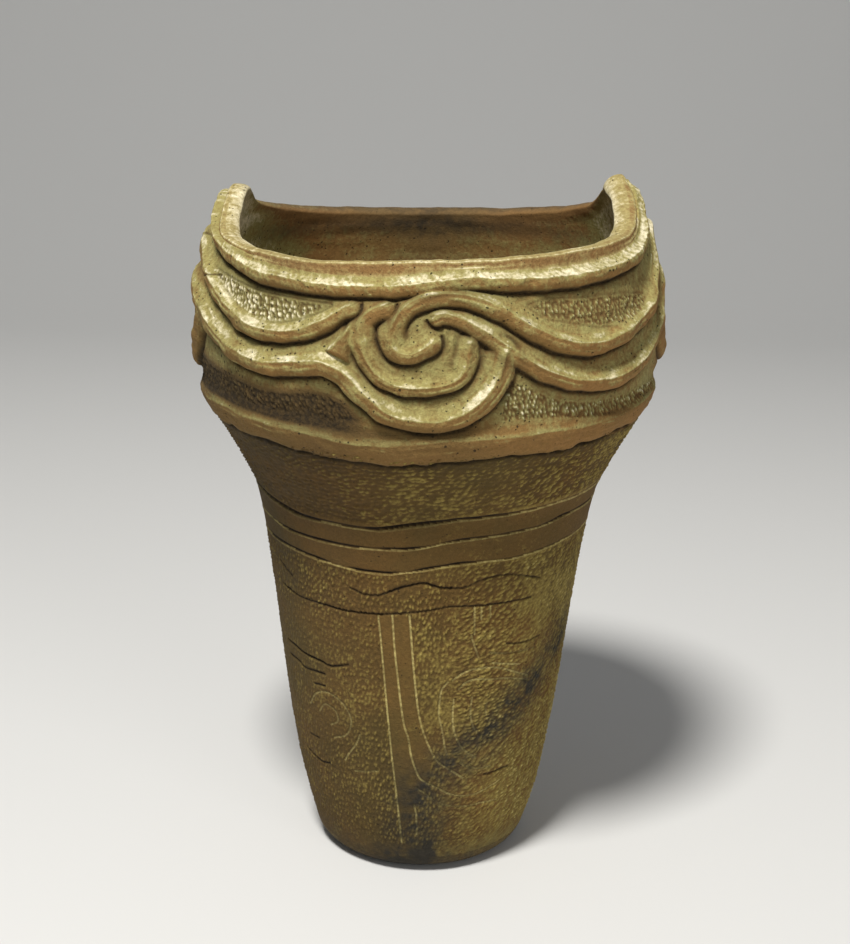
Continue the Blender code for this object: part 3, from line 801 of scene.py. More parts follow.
# Ropes of one face, as (angle, height) along their middle, width at both ends, and which ends are free
FACE_ROPES = {
    "rim_ridge": (
        [
            (-89.9, 380.5), (-85, 379), (-79, 373.6), (-73, 366.4), (-66, 360.6), (-57, 355.2),
            (-46, 350.3), (-36, 347.9), (-25, 346.2), (-8, 346.4), (0, 349.2), (8, 350.4), (25, 349.3),
            (45, 349.7), (60, 353.4), (68, 358.1), (74, 364.3), (80, 371.6), (85, 378), (89.9, 380.5),
        ],
        10.5, 10.5, (False, False),
    ),
    "upper_left_garland": (
        [
            (-89.9, 360), (-85, 358.5), (-78, 353), (-71, 346.5), (-64, 340), (-55, 331), (-46, 323.5),
            (-38, 320.8), (-30, 322.5), (-24, 328), (-20, 333.4), (-17.2, 336.4),
        ],
        12, 8, (False, True),
    ),
    "lower_left_garland": (
        [
            (-89.9, 338), (-85, 337), (-78, 332.5), (-70, 326.5), (-63, 319.5), (-55, 312.5),
            (-47, 307.5), (-38, 305), (-30, 306.5), (-24, 308.5), (-19.5, 305), (-13.5, 293.5),
            (-8, 284.7), (0, 282), (7, 285), (12.5, 293.5), (15.6, 303), (17, 316),
        ],
        12, 10.5, (False, True),
    ),
    "upper_right_spiral": (
        [
            (1.1, 320.3), (-1, 316.8), (-4.3, 314.2), (-7.2, 316.5), (-8.2, 322.5), (-7.4, 330),
            (-5, 336.6), (-1.4, 341), (3, 342.7), (8, 341.8), (13, 338.6), (18, 333.8), (23, 327),
            (28, 321), (33, 317), (38, 315), (44, 314.8), (51, 317), (58, 320.8), (66, 327), (74, 337),
            (80, 348), (85, 357), (89.9, 360),
        ],
        8, 12, (True, False),
    ),
    "lower_right_hook": (
        [
            (1.8, 332.6), (3, 333.3), (4.8, 332.9), (8, 330.4), (11, 327), (14.6, 322.4),
            (18.5, 316.3), (22.5, 310), (27, 304.3), (32.5, 299.5), (38.5, 296), (45, 294.8),
            (52, 295.8), (59, 298.8), (66, 304), (74, 314.5), (80, 326), (85, 335), (89.9, 338),
        ],
        7.5, 12, (True, False),
    ),
    "scroll": (
        [
            (-9.4, 336.8), (-11.8, 335.2), (-14.2, 331.5), (-15.1, 325.5), (-14.6, 317.8),
            (-13, 310.1), (-10.4, 303.5), (-6.4, 299.3), (-1.3, 298.2), (3.7, 299.6), (7.2, 304),
            (8.6, 311), (9, 317), (9.3, 321),
        ],
        9, 7, (True, True),
    ),
}
SIDE_LOOP = (
    [
        (75.6, 315), (77.5, 306.5), (80.5, 299.3), (85, 294.5), (90, 293), (95.5, 294.5),
        (100.5, 299.5), (104.5, 306.5), (107, 313.5), (109, 320),
    ],
    11, 11, (True, True),
)
TRIANGLE_PAD = [(-23.6, 314.8), (-17, 330), (-17, 309)]
PAD_RISE = 4.4
COLLAR_RADIUS = 124.0
STATION = 0.7
NEAR_ANGLE = 7.0
NEAR_HEIGHT = 14.0


def lay_rope(route, first, last, free, turn, leaning=1.0):
    """Evenly spaced stations along the middle of a rope on the wall, with its direction, width and bend."""
    drawn = np.array(route, float)
    per_degree = np.radians(1) * COLLAR_RADIUS
    run = run_along(np.diff(drawn[:, 0]) * per_degree, np.diff(drawn[:, 1]))
    fine = np.linspace(0, run[-1], 4000)
    angle = smooth_curve(list(zip(run, drawn[:, 0])), fine)
    height = smooth_curve(list(zip(run, drawn[:, 1])), fine) + leaning * lean(angle + turn)
    length = run_along(np.diff(angle) * per_degree, np.diff(height))
    stops = np.linspace(0, length[-1], int(length[-1] / STATION) + 1)
    angle, height = np.interp(stops, length, angle), np.interp(stops, length, height)
    across, rise = np.gradient(angle * per_degree), np.gradient(height)
    heading = np.unwrap(np.arctan2(rise, across))
    bend = np.gradient(heading) / (stops[1] - stops[0])
    bend = np.convolve(np.pad(bend, 5, mode="edge"), np.ones(11) / 11, mode="valid")
    return {"angle": angle, "height": height, "heading": heading, "bend": bend, "run": stops, "turn": turn,
            "free": free, "half": np.linspace(first, last, len(stops)) / 2,
            "build": STANDING if route is FACE_ROPES["rim_ridge"][0] else HANGING}


ROPES = {}
for face_name, turn in (("front", 0), ("back", 180)):
    for rope_name, (route, first, last, free) in FACE_ROPES.items():
        leaning = 0.75 if rope_name == "rim_ridge" else 1.0
        ROPES[f"{face_name}_{rope_name}"] = lay_rope(route, first, last, free, turn, leaning)
ROPES["right_hanging_loop"] = lay_rope(*SIDE_LOOP, 0)
ROPES["left_hanging_loop"] = lay_rope(*SIDE_LOOP, 180)


def sheet_reach(extent, bend, side, upper):
    """How far to this side a rope's clay goes: less up its slope and on the inside of a tight bend."""
    inner = np.maximum(bend * side, 1e-6)
    return np.minimum((0.93 - 0.43 * upper) * extent, 0.8 / inner)


def over_ropes(angle, height):
    """Everything pressed onto the wall: its height there, the cuts along it, where it lies on the wall,
    how it was drawn out, and the painted shade below the ropes and above the waist rope."""
    total = np.zeros(len(angle))
    cuts = np.zeros(len(angle))
    smear = np.zeros(len(angle))
    wall = wall_radius(height)
    spot = round_axis(wall, angle, height)
    uneven = 1 + 0.13 * mottle(spot, 17, 61) + 0.07 * mottle(spot, 6, 62)

    wander = 0.9 * mottle(spot, 22, 65) + 0.45 * mottle(spot, 7, 67)
    offset = height - girdle_height(angle) - GIRDLE_BUILD[0] * GIRDLE_WIDTH / 2 - wander
    upper = (offset > 0).astype(float)
    half = GIRDLE_WIDTH / 2 * uneven
    form, cut, extent = rope_form(np.abs(offset), half, GIRDLE_RISE * uneven, upper, GIRDLE_BUILD)
    drawn = mottle(np.column_stack([spot[:, :2] / 9, offset]), 1.3, 64) * eased(form / 2)
    total += np.maximum(form + DRAWN_OUT * drawn, 0) ** 4
    smear += drawn
    ragged = np.clip(1.5 + 0.9 * mottle(spot, 11, 68), 0.5, 2.2)
    cuts += ragged * cut
    # Painted shadow below the waist rope.
    rope_shade = shadow_below_rope(np.abs(offset), extent, upper)
    # Painted shade in a band above the waist rope, on the left side.
    sheltered = eased((0.1 - np.sin(np.radians(angle))) / 0.5)
    rope_shade = np.maximum(rope_shade, 1.5 * sheltered * np.exp(-(((offset - 5.2) / 2.8) ** 2)))
    cover = eased((np.where(offset > 0, 0.4, 0.6) * extent - np.abs(offset)) / (0.2 * extent))
    strongest = form

    for rope in ROPES.values():
        face = (angle - rope["turn"] + 180) % 360 - 180
        near = (face > rope["angle"].min() - NEAR_ANGLE) & (face < rope["angle"].max() + NEAR_ANGLE)
        near &= (height > rope["height"].min() - NEAR_HEIGHT) & (height < rope["height"].max() + NEAR_HEIGHT)
        near = np.flatnonzero(near)
        for some in np.array_split(near, len(near) // 8000 + 1):
            if not len(some):
                continue
            per_degree = (np.radians(1) * wall[some])[:, None]
            dx = (face[some, None] - rope["angle"]) * per_degree
            dz = height[some, None] - rope["height"]
            nearest = np.argmin(dx * dx + dz * dz, axis=1)
            pick = np.arange(len(some))
            dx, dz = dx[pick, nearest], dz[pick, nearest]
            heading = rope["heading"][nearest]
            along = dx * np.cos(heading) + dz * np.sin(heading)
            half = rope["half"][nearest] * uneven[some]
            off = dz * np.cos(heading) - dx * np.sin(heading) - rope["build"][0] * half * np.cos(heading)
            off = off - 0.7 * wander[some] * np.cos(heading)
            last = len(rope["run"]) - 1
            past = np.where(nearest == last, np.maximum(along, 0), 0)
            past = np.where(nearest == 0, np.maximum(-along, 0), past)
            open_end = np.where(nearest == 0, rope["free"][0], rope["free"][1])
            side = np.sign(off)
            upper = 0.5 + 0.5 * np.cos(heading) * side
            far = np.hypot(off, 1.15 * past)
            rise = 2 * half * ROPE_RISE * uneven[some]
            form, cut, extent = rope_form(far, half, rise, upper, rope["build"])
            reach = sheet_reach(extent, rope["bend"][nearest], side, upper)
            here = (past <= 0) | open_end | (np.abs(face[some]) <= 90)
            run = rope["run"][nearest]
            which_face = np.full(len(some), rope["turn"])
            streak = np.column_stack([run / 9, off, which_face])
            drawn = mottle(streak, 1.3, 63) * eased(form / 2) * here
            if rope["build"] is STANDING:
                wrapped = np.column_stack([run + 0.8 * off, off / 5, which_face])
                drawn = 0.6 * drawn + 0.7 * mottle(wrapped, 1.5, 66) * eased(form / 2) * here
            smear[some] = np.where(form**4 > total[some], drawn, smear[some])
            form = form + DRAWN_OUT * drawn
            form = np.where(here, np.maximum(form, 0), 0)
            total[some] += form**4
            cuts[some] += np.where(here, cut, 0)
            # Painted shadow below this rope.
            rope_shade[some] = np.maximum(rope_shade[some], here * shadow_below_rope(far, extent, upper))
            from_first = np.where(rope["free"][0], run, FAR_AWAY)
            from_last = np.where(rope["free"][1], rope["run"][-1] - run, FAR_AWAY)
            from_end = np.minimum(from_first, from_last)
            laid = here * eased((0.6 * reach - far) / (0.25 * reach)) * eased((from_end - 2) / 5)
            cover[some] = np.where(form > strongest[some], laid, cover[some])
            strongest[some] = np.maximum(form, strongest[some])

    for turn in (0, 180):
        face = (angle - turn + 180) % 360 - 180
        corners = np.array(TRIANGLE_PAD)
        corners[:, 1] += lean(corners[:, 0] + turn)
        inside = np.full(len(angle), FAR_AWAY)
        scale = np.radians(1) * COLLAR_RADIUS
        for (a0, h0), (a1, h1) in zip(corners, np.roll(corners, -1, axis=0)):
            ex, ez = (a1 - a0) * scale, h1 - h0
            px, pz = (face - a0) * scale, height - h0
            inside = np.minimum(inside, (ez * px - ex * pz) / np.hypot(ex, ez))
        pad_form = PAD_RISE * eased(0.25 + inside / 3.6)
        total += pad_form**4
        cover = np.where(pad_form > strongest, eased((inside - 1.2) / 1.0), cover)
    form = total**0.25
    cuts = np.minimum(cuts, 2.4) * eased((2.4 - form) / 2)
    return form, cuts, cover, smear, rope_shade


# Cord-marked leaves and fields between the ropes: outline of (angle, height) on a face, strength of the
# marks, depth of a cut border, and how much film was rubbed off, below 0 where more film lies; above 0 the
# field is also painted darker, a painted shadow under the garland above it
FIELD_CORD = (2.2, 2.6, (1.35, 0.68))
FIELDS = [
    (
        [
            (-67.8, 344.7), (-56.7, 341.8), (-50, 340.1), (-43.2, 338.4), (-37.1, 337.9),
            (-31.1, 337.3), (-26.2, 336.8), (-22.6, 336.5), (-25.9, 332.6), (-30.5, 328.8),
            (-35.5, 326.1), (-39.8, 325), (-43.2, 325.5), (-48.3, 328.6), (-53.2, 332.7), (-59, 338.1),
            (-64.8, 342.5),
        ],
        1, 0.8, -1.5,
    ),
    (
        [
            (23.3, 337.5), (27.9, 339.8), (32, 339.7), (38, 338.7), (44.8, 338.8), (52.9, 337.9),
            (61.1, 335.7), (65.4, 333), (60.8, 327.6), (55.1, 325.2), (47.3, 324.3), (42.9, 324.4),
            (37.2, 327.1), (32, 329.6), (27.4, 331.2),
        ],
        0.85, 0.5, -0.6,
    ),
    (
        [
            (18.5, 302.9), (21.2, 299.5), (26.5, 294), (32.2, 289.1), (38.4, 286.9), (45.3, 285.8),
            (53.7, 285.5), (65.5, 286.3), (76, 285.5), (86, 281.5), (76, 277.5), (61.1, 276.5),
            (50.7, 276.3), (39.2, 278.1), (30, 280.1), (22, 280.6), (17, 280.8), (17.5, 294.3),
        ],
        1, 0.2, -0.9,
    ),
    (
        [
            (-87, 287), (-80, 294.5), (-74.9, 296), (-68, 293.5), (-57.6, 292.4), (-48.4, 290.7),
            (-42.2, 289.3), (-33.3, 290.2), (-27.7, 292.3), (-22.6, 291.5), (-18.9, 287.6),
            (-16, 280.3), (-20.4, 278.8), (-28.3, 278.4), (-37.1, 278.9), (-47.5, 280.4),
            (-59.5, 280.8), (-76, 278), (-84, 280),
        ],
        0.85, 0.15, 0.95,
    ),
]
# Drying cracks across the ropes at the front left
CRACKS = [
    [(-72, 337.5), (-69.5, 338.4), (-65.7, 340.1), (-62.7, 341.6), (-60.5, 340.4)],
    [(-83.7, 356.8), (-79, 357.8), (-74, 358.6)],
]
# Thin ridges that run down from the head of the hook inside each swirl
FINE_RIDGES = [
    [(3.7, 329.1), (4.0, 322.3), (4.5, 318.1)],
    [(5.5, 327.3), (5.3, 318.8), (5.6, 309.3)],
]


def inside_outline(outline, angle, height):
    """How far inside an outline on the wall each point lies, negative outside."""
    shape = np.array(outline, float)
    scale = np.radians(1) * COLLAR_RADIUS
    distance = np.full(len(angle), -FAR_AWAY)
    near = (angle > shape[:, 0].min() - 4) & (angle < shape[:, 0].max() + 4)
    near &= (height > shape[:, 1].min() - 6) & (height < shape[:, 1].max() + 6)
    near = np.flatnonzero(near)
    px, pz = angle[near] * scale, height[near]
    best = np.full(len(near), FAR_AWAY)
    within = np.zeros(len(near), bool)
    for (a0, h0), (a1, h1) in zip(shape, np.roll(shape, -1, axis=0)):
        x0 = a0 * scale
        run, climb = a1 * scale - x0, h1 - h0
        share = np.clip(((px - x0) * run + (pz - h0) * climb) / (run**2 + climb**2), 0, 1)
        best = np.minimum(best, np.hypot(px - x0 - share * run, pz - h0 - share * climb))
        if climb != 0:
            crosses = (h0 > pz) != (h1 > pz)
            within ^= crosses & (px < x0 + (pz - h0) / climb * run)
    distance[near] = np.where(within, best, -best)
    return distance


def peaked(angle):
    """0 along the low lip, 1 at the side peaks."""
    return eased((lip_height(angle) - 359) / 16)


def lip_inset(angle, height):
    """How far the lip is set in above its ridge, at the left peak."""
    past_ridge = eased((height - lip_height(angle) + 4.4) / 2.8)
    return 2.5 * (1 - np.sin(np.radians(angle))) * peaked(angle) * past_ridge


def lip_bead(angle, height):
    """The lip's thickened outer edge, over the groove that parts it from its ridge."""
    return 1.5 * np.exp(-(((height - lip_height(angle) + 2.4) / 3.4) ** 2))


def collar_skin(angle, height):
    """Height of the collar's own surface over the smooth wall, height of what is pressed on, where that lies
    on the wall, and notes on what lies on the surface and on its painted light and shade."""
    turn = np.radians(angle)
    spot = round_axis(wall_radius(height), angle, height)
    face = of_the_face(angle)
    below_lean = height - lean(angle) + lean(face)
    flank = eased((np.abs(face) - 70) / 14) * eased((height - 284) / 10) * eased((366 - height) / 8)
    ground = 0.5 * mottle(spot, 55, 1) + 0.25 * mottle(spot, 18, 2) + 0.16 * mottle(spot, 6, 71)
    ground += 0.12 * mottle(spot, 2.6, 76) + 2.0 * flank
    ground += lip_bead(angle, height) - lip_inset(angle, height)
    form, cuts, cover, smear, rope_shade = over_ropes(angle, height)
    into_lip = 2.5 + 1.5 * peaked(angle) * (1 - np.sin(turn))
    form = form * eased((lip_height(angle) - 0.3 - height) / into_lip) * (1 - 0.42 * flank)
    bare = eased((1.9 - form) / 1.4)
    corded = np.zeros(len(angle))
    border = np.zeros(len(angle))
    rubbed_and_painted_light = np.zeros(len(angle))
    for outline, strength, cut, bare_share in FIELDS:
        inside = inside_outline(outline, face, below_lean)
        rubbed_and_painted_light += bare_share * eased((inside + 6) / 8)
        corded = np.maximum(corded, strength * eased((inside + 0.2) / 1.4))
        border = np.maximum(border, cut * np.exp(-(((inside + 0.7) / 0.75) ** 2)))
    corded *= eased((3.0 - form) / 1.4)
    border *= bare
    bumps = cord_marks(angle, height, FIELD_CORD, 112 + 10 * mottle(spot, 25, 72), 81)
    ground += corded * (1.6 * bumps - 0.8) - 0.6 * border
    # Painted shade in the dents between cord marks and along cut borders.
    hollow_shade = 1.25 * corded * np.clip(0.5 - bumps, 0, 1) + 0.6 * border
    # Painted shade in the cuts and shadows under ropes, and on the bare field under the garland.
    hollow_shade += 0.65 * np.clip(cuts, 0, 1.3) + 0.4 * rope_shade + 0.75 * np.clip(rubbed_and_painted_light, 0, 1) * bare
    # Painted shade: the collar is painted darker below the waist rope's top, more on the left.
    waist_shade = 0.12 + 0.16 * eased((0.45 - np.sin(turn)) / 0.4)
    hollow_shade += waist_shade * eased((284 - below_lean) / 8)
    for ridge in FINE_RIDGES:
        ground += 0.9 * np.exp(-((line_distance(ridge, face, below_lean) / 0.8) ** 2))
    for crack in CRACKS:
        split = np.exp(-((line_distance(crack, (angle + 180) % 360 - 180, height) / 0.55) ** 2))
        ground -= 0.6 * split
        # Painted shade in the crack.
        hollow_shade += 0.8 * split
    worn_and_painted_light = eased((form - 0.8) / 2.4) * (0.85 + 0.3 * mottle(spot, 12, 77))
    film_and_painted_light = 0.5 + 0.14 * mottle(spot, 24, 73) + 0.1 * mottle(spot, 7, 78)
    # Film is lighter on the bumps of the cord marks: painted light on them.
    film_and_painted_light += 0.95 * corded * (bumps - 0.3) + 0.3 * smear
    # Less film on the bare field and below the waist: painted shade, with film rubbed off on the field.
    film_and_painted_light -= 0.25 * rubbed_and_painted_light * bare + 0.3 * eased((285 - below_lean) / 8)
    film_and_painted_light -= 0.35 * eased((-np.sin(turn) - 0.92) / 0.06) * eased((352 - height) / 15)
    film_and_painted_light -= 0.12 * eased(np.sin(turn) / 0.7) * eased((345 - below_lean) / 10)
    to_lip = lip_height(angle) - height
    film_and_painted_light += 0.16 * eased((16 - to_lip) / 4) * eased((to_lip - 4) / 3)
    warm = 0.2 + 0.3 * mottle(spot, 35, 74) + 0.3 * np.sin(turn)
    soot = 0.45 * np.clip(mottle(spot, 50, 75) - 0.4, 0, 1) + 0.15 * rubbed_and_painted_light * bare
    notes = {"hollow_shade": np.clip(hollow_shade, 0, 1), "soot": np.clip(soot, 0, 1), "warm": np.clip(warm, 0, 1)}
    return ground, form - cuts, cover, {"film_and_painted_light": film_and_painted_light, "worn_and_painted_light": worn_and_painted_light, **notes}


def wall_under_ropes(angle, height):
    """The collar's own surface: it rises to meet each rope and lies flat under it."""
    ground, form, cover, notes = collar_skin(angle, height)
    return ground + form * (1 - cover) - 0.5 * cover, notes


def shoulder_skin(angle, height):
    """The body's cord-marked skin, tucked in under the waist rope."""
    lift, notes = body_skin(angle, height)
    form, cuts, cover, _, rope_shade = over_ropes(angle, height)
    # Painted shade in the cut and shadow under the waist rope; its raised parts take painted light as worn.
    notes["hollow_shade"] = np.clip(notes["hollow_shade"] + 0.8 * cuts + 0.35 * rope_shade, 0, 1)
    notes["worn_and_painted_light"] = eased((form - 1.2) / 2.0)
    return lift + (form - cuts) * (1 - cover) - 0.5 * cover, notes


rope_clay = fired_clay(
    "rubbed_rope_clay", (126, 102, 58), (146, 109, 62), (150, 140, 86), (228, 218, 186),
    roughness=0.88, pitted=0.36,
)
waist, angle, share, outer = clay_ring(
    "waist_rope", COLLAR_AROUND, rows=36, inner_rows=6, radius=128.0, low=258.0, high=284.0, thickness=8.0
)
half = GIRDLE_WIDTH / 2
low, high = -0.93 * half * (1 + GIRDLE_BUILD[2]), 0.5 * half * (1 + GIRDLE_BUILD[1])
offset = low + (high - low) * share
height = girdle_height(angle) + offset + GIRDLE_BUILD[0] * half
ground, form, _, notes = collar_skin(angle, height)
edge = np.minimum(share, 1 - share)
top = ground + form + 0.1 - EDGE_DIVE * (edge < 0.001)
points = on_wall(angle, height, np.where(outer, top, ground - EDGE_DIVE))
give_surface(waist, points, notes, up_the_wall(angle, height), ~outer | (edge < 0.03), rope_clay)
stand_for(waist, "girdle")


# Shoulder coil: one more coil of the body's clay, which flares out to carry the collar. It is joined with
# slanting seams, and rows of short cord marks were rolled over its outside.
SHOULDER_AROUND = 1080
SHOULDER_ROWS = 66
SHOULDER_INNER_ROWS = 10
course(
    "shoulder_coil", SHOULDER_AROUND, SHOULDER_ROWS, SHOULDER_INNER_ROWS, BODY_SEAMS[-1], COLLAR_FLOOR,
    shoulder_skin, body_clay, "shoulder_course",
)


# Collar coils: two broad coils that bulge out and close in again under the lip. Between the ropes they are
# wiped smooth, and leaves and fields of cord marks were left standing.
COLLAR_SEAM = 308.0
LOWER_ROWS = 68
LOWER_INNER_ROWS = 14
UPPER_ROWS = 71
UPPER_INNER_ROWS = 16
collar_clay = fired_clay(
    "dusty_collar_clay", (126, 102, 58), (146, 109, 62), (149, 140, 86), (228, 218, 186),
    roughness=0.88, pitted=0.36,
)
course(
    "collar_coil_lower", COLLAR_AROUND, LOWER_ROWS, LOWER_INNER_ROWS, COLLAR_FLOOR, COLLAR_SEAM,
    wall_under_ropes, collar_clay, "collar_lower_course",
)
course(
    "collar_coil_upper", COLLAR_AROUND, UPPER_ROWS, UPPER_INNER_ROWS, COLLAR_SEAM,
    lambda angle: lip_height(angle) - LIP_FOOT,
    wall_under_ropes, collar_clay, "collar_upper_course", scarfs=(SCARF, 0),
)


# Lip coil: the last coil, rolled over between finger and thumb and pulled up into two side peaks. It sits on
# a level seam on the collar, and hands have rubbed its edge bare.
ROLL_DROP = 3.4
TIP_DROP = 5.0
TIP_ANGLE = 91.0
TIP_THICKENING = 4.5
INNER_RADIUS = 110.0
FACE_SHARE = 0.5
lip_clay = fired_clay(
    "rubbed_lip_clay", (124, 99, 60), (140, 105, 62), (158, 143, 92), (226, 215, 180),
    roughness=0.86, pitted=0.3,
)
rim_coil, angle, share, outer = clay_ring(
    "rim_coil", COLLAR_AROUND, rows=26, inner_rows=20, radius=118.0, low=350.0, high=361.0,
    thickness=COLLAR_THICKNESS,
)
turn = np.radians(angle)
foot = lip_height(angle) - LIP_FOOT
along_lip = round_axis(115.0, angle, lip_height(angle))
crest = lip_height(angle) + 0.5 * mottle(along_lip, 15, 91) + 0.2 * mottle(along_lip, 5, 92)
tip = np.exp(-(((angle - TIP_ANGLE) / 7) ** 2))
brow = crest - ROLL_DROP - TIP_DROP * tip
height = foot + (brow - foot) * np.clip(share / FACE_SHARE, 0, 1)


def lip_inside(level, grown):
    """The lip's inner face at this height, thickened towards the peaks, and what lies on it."""
    face, lying = inner_skin(angle, level)
    face /= MM
    thicker = (0.8 + 0.4 * np.sin(turn)) * peaked(angle) * grown
    thicker += TIP_THICKENING * tip * eased((level - crest + 14) / 9)
    face[:, :2] *= (1 - thicker / INNER_RADIUS)[:, None]
    return face, lying


lift, notes = wall_under_ropes(angle, height)
face_points = on_wall(angle, height, lift) / MM
inner_points, inner_notes = lip_inside(height, eased((height - foot) / 6))
outer_edge = on_wall(angle, brow, collar_skin(angle, brow)[0]) / MM
inner_edge, _ = lip_inside(brow, 1.0)
quarter = np.clip((share - FACE_SHARE) / (1 - FACE_SHARE), 0, 1) * np.pi / 2
middle = 0.68 * outer_edge + 0.32 * inner_edge
edge_point = np.where(outer[:, None], outer_edge, inner_edge)
square = np.where(outer, 0.65 + 0.35 * tip, 1.0)
roll = middle + (edge_point - middle) * (np.cos(quarter * 0.98) ** square)[:, None]
roll[:, 2] = brow + (crest - brow) * np.sin(quarter * 0.98) ** square
roll[:, 2] += (edge_point[:, 2] - brow) * np.cos(quarter)
face_points = np.where(outer[:, None], face_points, inner_points)
points = np.where((share > FACE_SHARE)[:, None], roll, face_points)
on_roll = np.sin(quarter)
# The lip's edge counts as worn: rubbed clay with a painted highlight along its top and painted shade on its
# outer face.
notes["worn_and_painted_light"] = np.maximum(notes["worn_and_painted_light"], eased((height - foot - 2) / 3))
notes["wiped"] = np.zeros(len(angle))
from_inside = np.where(outer, 0, 1 - 0.85 * on_roll)
for note in notes:
    notes[note] = notes[note] * (1 - from_inside) + inner_notes[note] * from_inside
behind = eased(-np.cos(turn) / 0.4) * np.where(outer, on_roll, eased((height - foot - 1) / 7))
right_peak = peaked(angle) * eased(np.sin(turn) / 0.8)
notes["film_and_painted_light"] = notes["film_and_painted_light"] - 0.55 * behind - (0.1 * outer + 0.3 * right_peak) * on_roll
notes["soot"] = np.clip(notes["soot"] + 0.58 * behind * on_roll, 0, 1)
up = up_the_wall(angle, height) * np.where(outer, 1.0, 0.3 + 0.5 * on_roll)[:, None]
give_surface(rim_coil, points * MM, notes, up, share < 0.001, lip_clay)
stand_for(rim_coil, "lip")


# Ropes: rolls of clay about as thick as a finger, pressed on and drawn out by hand. The ridge follows the
# lip, the garlands hang between the peaks and wind into the swirl, and the scroll wraps round the spiral.
ROPE_TOP = 30
ROPE_UNDER = 8
RING_GROUP = 20
END_RINGS = 10
END_LENGTH = 1.05
NO_END = 99.0
SIDE_LAP = 1.3
START_RADIUS = 6.0


def press_rope(name, rope, node, proud):
    """A rope as a rolled cylinder, cut into rings and pressed onto the wall along its route."""
    free_first, free_last = rope["free"]
    wanted = len(rope["run"]) - 1 + END_RINGS * (free_first + free_last)
    groups = int(np.ceil(wanted / RING_GROUP))
    rings = groups * RING_GROUP
    around = ROPE_TOP + ROPE_UNDER
    bpy.ops.object.select_all(action="DESELECT")
    bpy.ops.mesh.primitive_cylinder_add(
        vertices=around, radius=START_RADIUS * MM, depth=1.0, end_fill_type="TRIFAN", location=(0, 0, 0.5)
    )
    piece = bpy.context.object
    piece.name = name
    bpy.ops.object.transform_apply(location=True, rotation=False, scale=False)
    bpy.ops.object.mode_set(mode="EDIT")
    bpy.ops.mesh.select_mode(type="EDGE")
    cut_edges(piece, groups, lambda edge, a, b: abs(a.z - b.z) > 0.5)
    cut_edges(piece, RING_GROUP, lambda edge, a, b: abs(a.z - b.z) > 0.5 / groups)
    bpy.ops.mesh.select_all(action="SELECT")
    bpy.ops.mesh.normals_make_consistent(inside=False)
    bpy.ops.object.mode_set(mode="OBJECT")

    place = coordinates(piece)
    ring = np.rint(place[:, 2] * rings).astype(int)
    clock = np.rint(np.degrees(np.arctan2(-place[:, 0], place[:, 1])) / 360 * around).astype(int) % around
    hub = np.hypot(place[:, 0], place[:, 1]) < START_RADIUS / 2 * MM
    on_top = clock <= ROPE_TOP
    q = np.where(on_top, 1 - 2 * clock / ROPE_TOP, -1 + 2 * (clock - ROPE_TOP) / ROPE_UNDER)
    q = np.where(hub, 0, q)

    length = rope["run"][-1]
    crown, cove, tuck = rope["build"]
    first_cap = END_LENGTH * rope["half"][0] if free_first else NO_END
    last_cap = END_LENGTH * rope["half"][-1] if free_last else NO_END
    body_rings = rings - END_RINGS * (free_first + free_last)
    spacing = []
    if free_first:
        spacing.append(-first_cap * np.cos(np.linspace(0, np.pi / 2, END_RINGS, endpoint=False)))
    lap_first, lap_last = (0 if end_free else SIDE_LAP for end_free in rope["free"])
    spacing.append(np.linspace(-lap_first, length + lap_last, body_rings + 1))
    if free_last:
        spacing.append(length + last_cap * np.sin(np.linspace(0, np.pi / 2, END_RINGS + 1)[1:]))
    run = np.concatenate(spacing)[ring]
    inside_run = np.clip(run, 0, length)
    past = np.abs(run - inside_run)
    cap = np.where(run < 0, first_cap, last_cap)
    narrow = np.sqrt(np.clip(1 - (past / np.maximum(cap, 1e-6)) ** 2, 0.0004, 1))

    def along(key):
        return np.interp(inside_run, rope["run"], rope[key])

    heading = along("heading")
    side = np.where(q >= 0, 1.0, -1.0)
    upper = 0.5 + 0.5 * np.cos(heading) * side
    extent = along("half") * (1 + tuck + (cove - tuck) * upper)
    reach = sheet_reach(extent, along("bend"), side, upper) * narrow
    off = q * reach + crown * along("half") * np.cos(heading) * narrow
    beyond = run - inside_run
    mid_height = along("height") + beyond * np.sin(heading)
    per_degree = np.radians(1) * wall_radius(mid_height)
    angle = along("angle") + rope["turn"] + (beyond * np.cos(heading) - off * np.sin(heading)) / per_degree
    height = mid_height + off * np.cos(heading)
    above_lip = np.maximum(height - lip_height(angle) + 2.5, 0)
    height = height - 0.85 * above_lip
    ground, form, _, notes = collar_skin(angle, height)
    tip_ring = ((ring == 0) & free_first) | ((ring == rings) & free_last)
    edge = (np.abs(q) > 0.99) | tip_ring
    half = along("half")
    far = np.hypot(q * reach, 1.15 * past)
    own, _, _ = rope_form(far, half, 2 * half * ROPE_RISE, upper, rope["build"])
    weaker = eased((0.7 * form - own) / (0.2 * np.maximum(form, 0.5)) - 0.3)
    sunk = EDGE_DIVE * np.maximum(edge, weaker)
    top = ground + form + proud - sunk - above_lip
    lift = np.where(on_top & ~hub, top, ground - EDGE_DIVE)
    lift = np.where(hub & ~tip_ring, ground + 1.0, lift)
    points = on_wall(angle, height, lift)
    hidden = ~on_top | (np.abs(q) > 0.92) | hub | tip_ring
    hidden |= ((ring == 0) & (not free_first)) | ((ring == rings) & (not free_last))
    give_surface(piece, points, notes, up_the_wall(angle, height), hidden, rope_clay)
    stand_for(piece, node)


for number, (name, rope) in enumerate(ROPES.items()):
    node = name.replace("rim_ridge", "lip_ridge").replace("hanging_loop", "side_loop")
    press_rope(f"clay_{name}", rope, node, 0.05 + 0.01 * (number % 7))


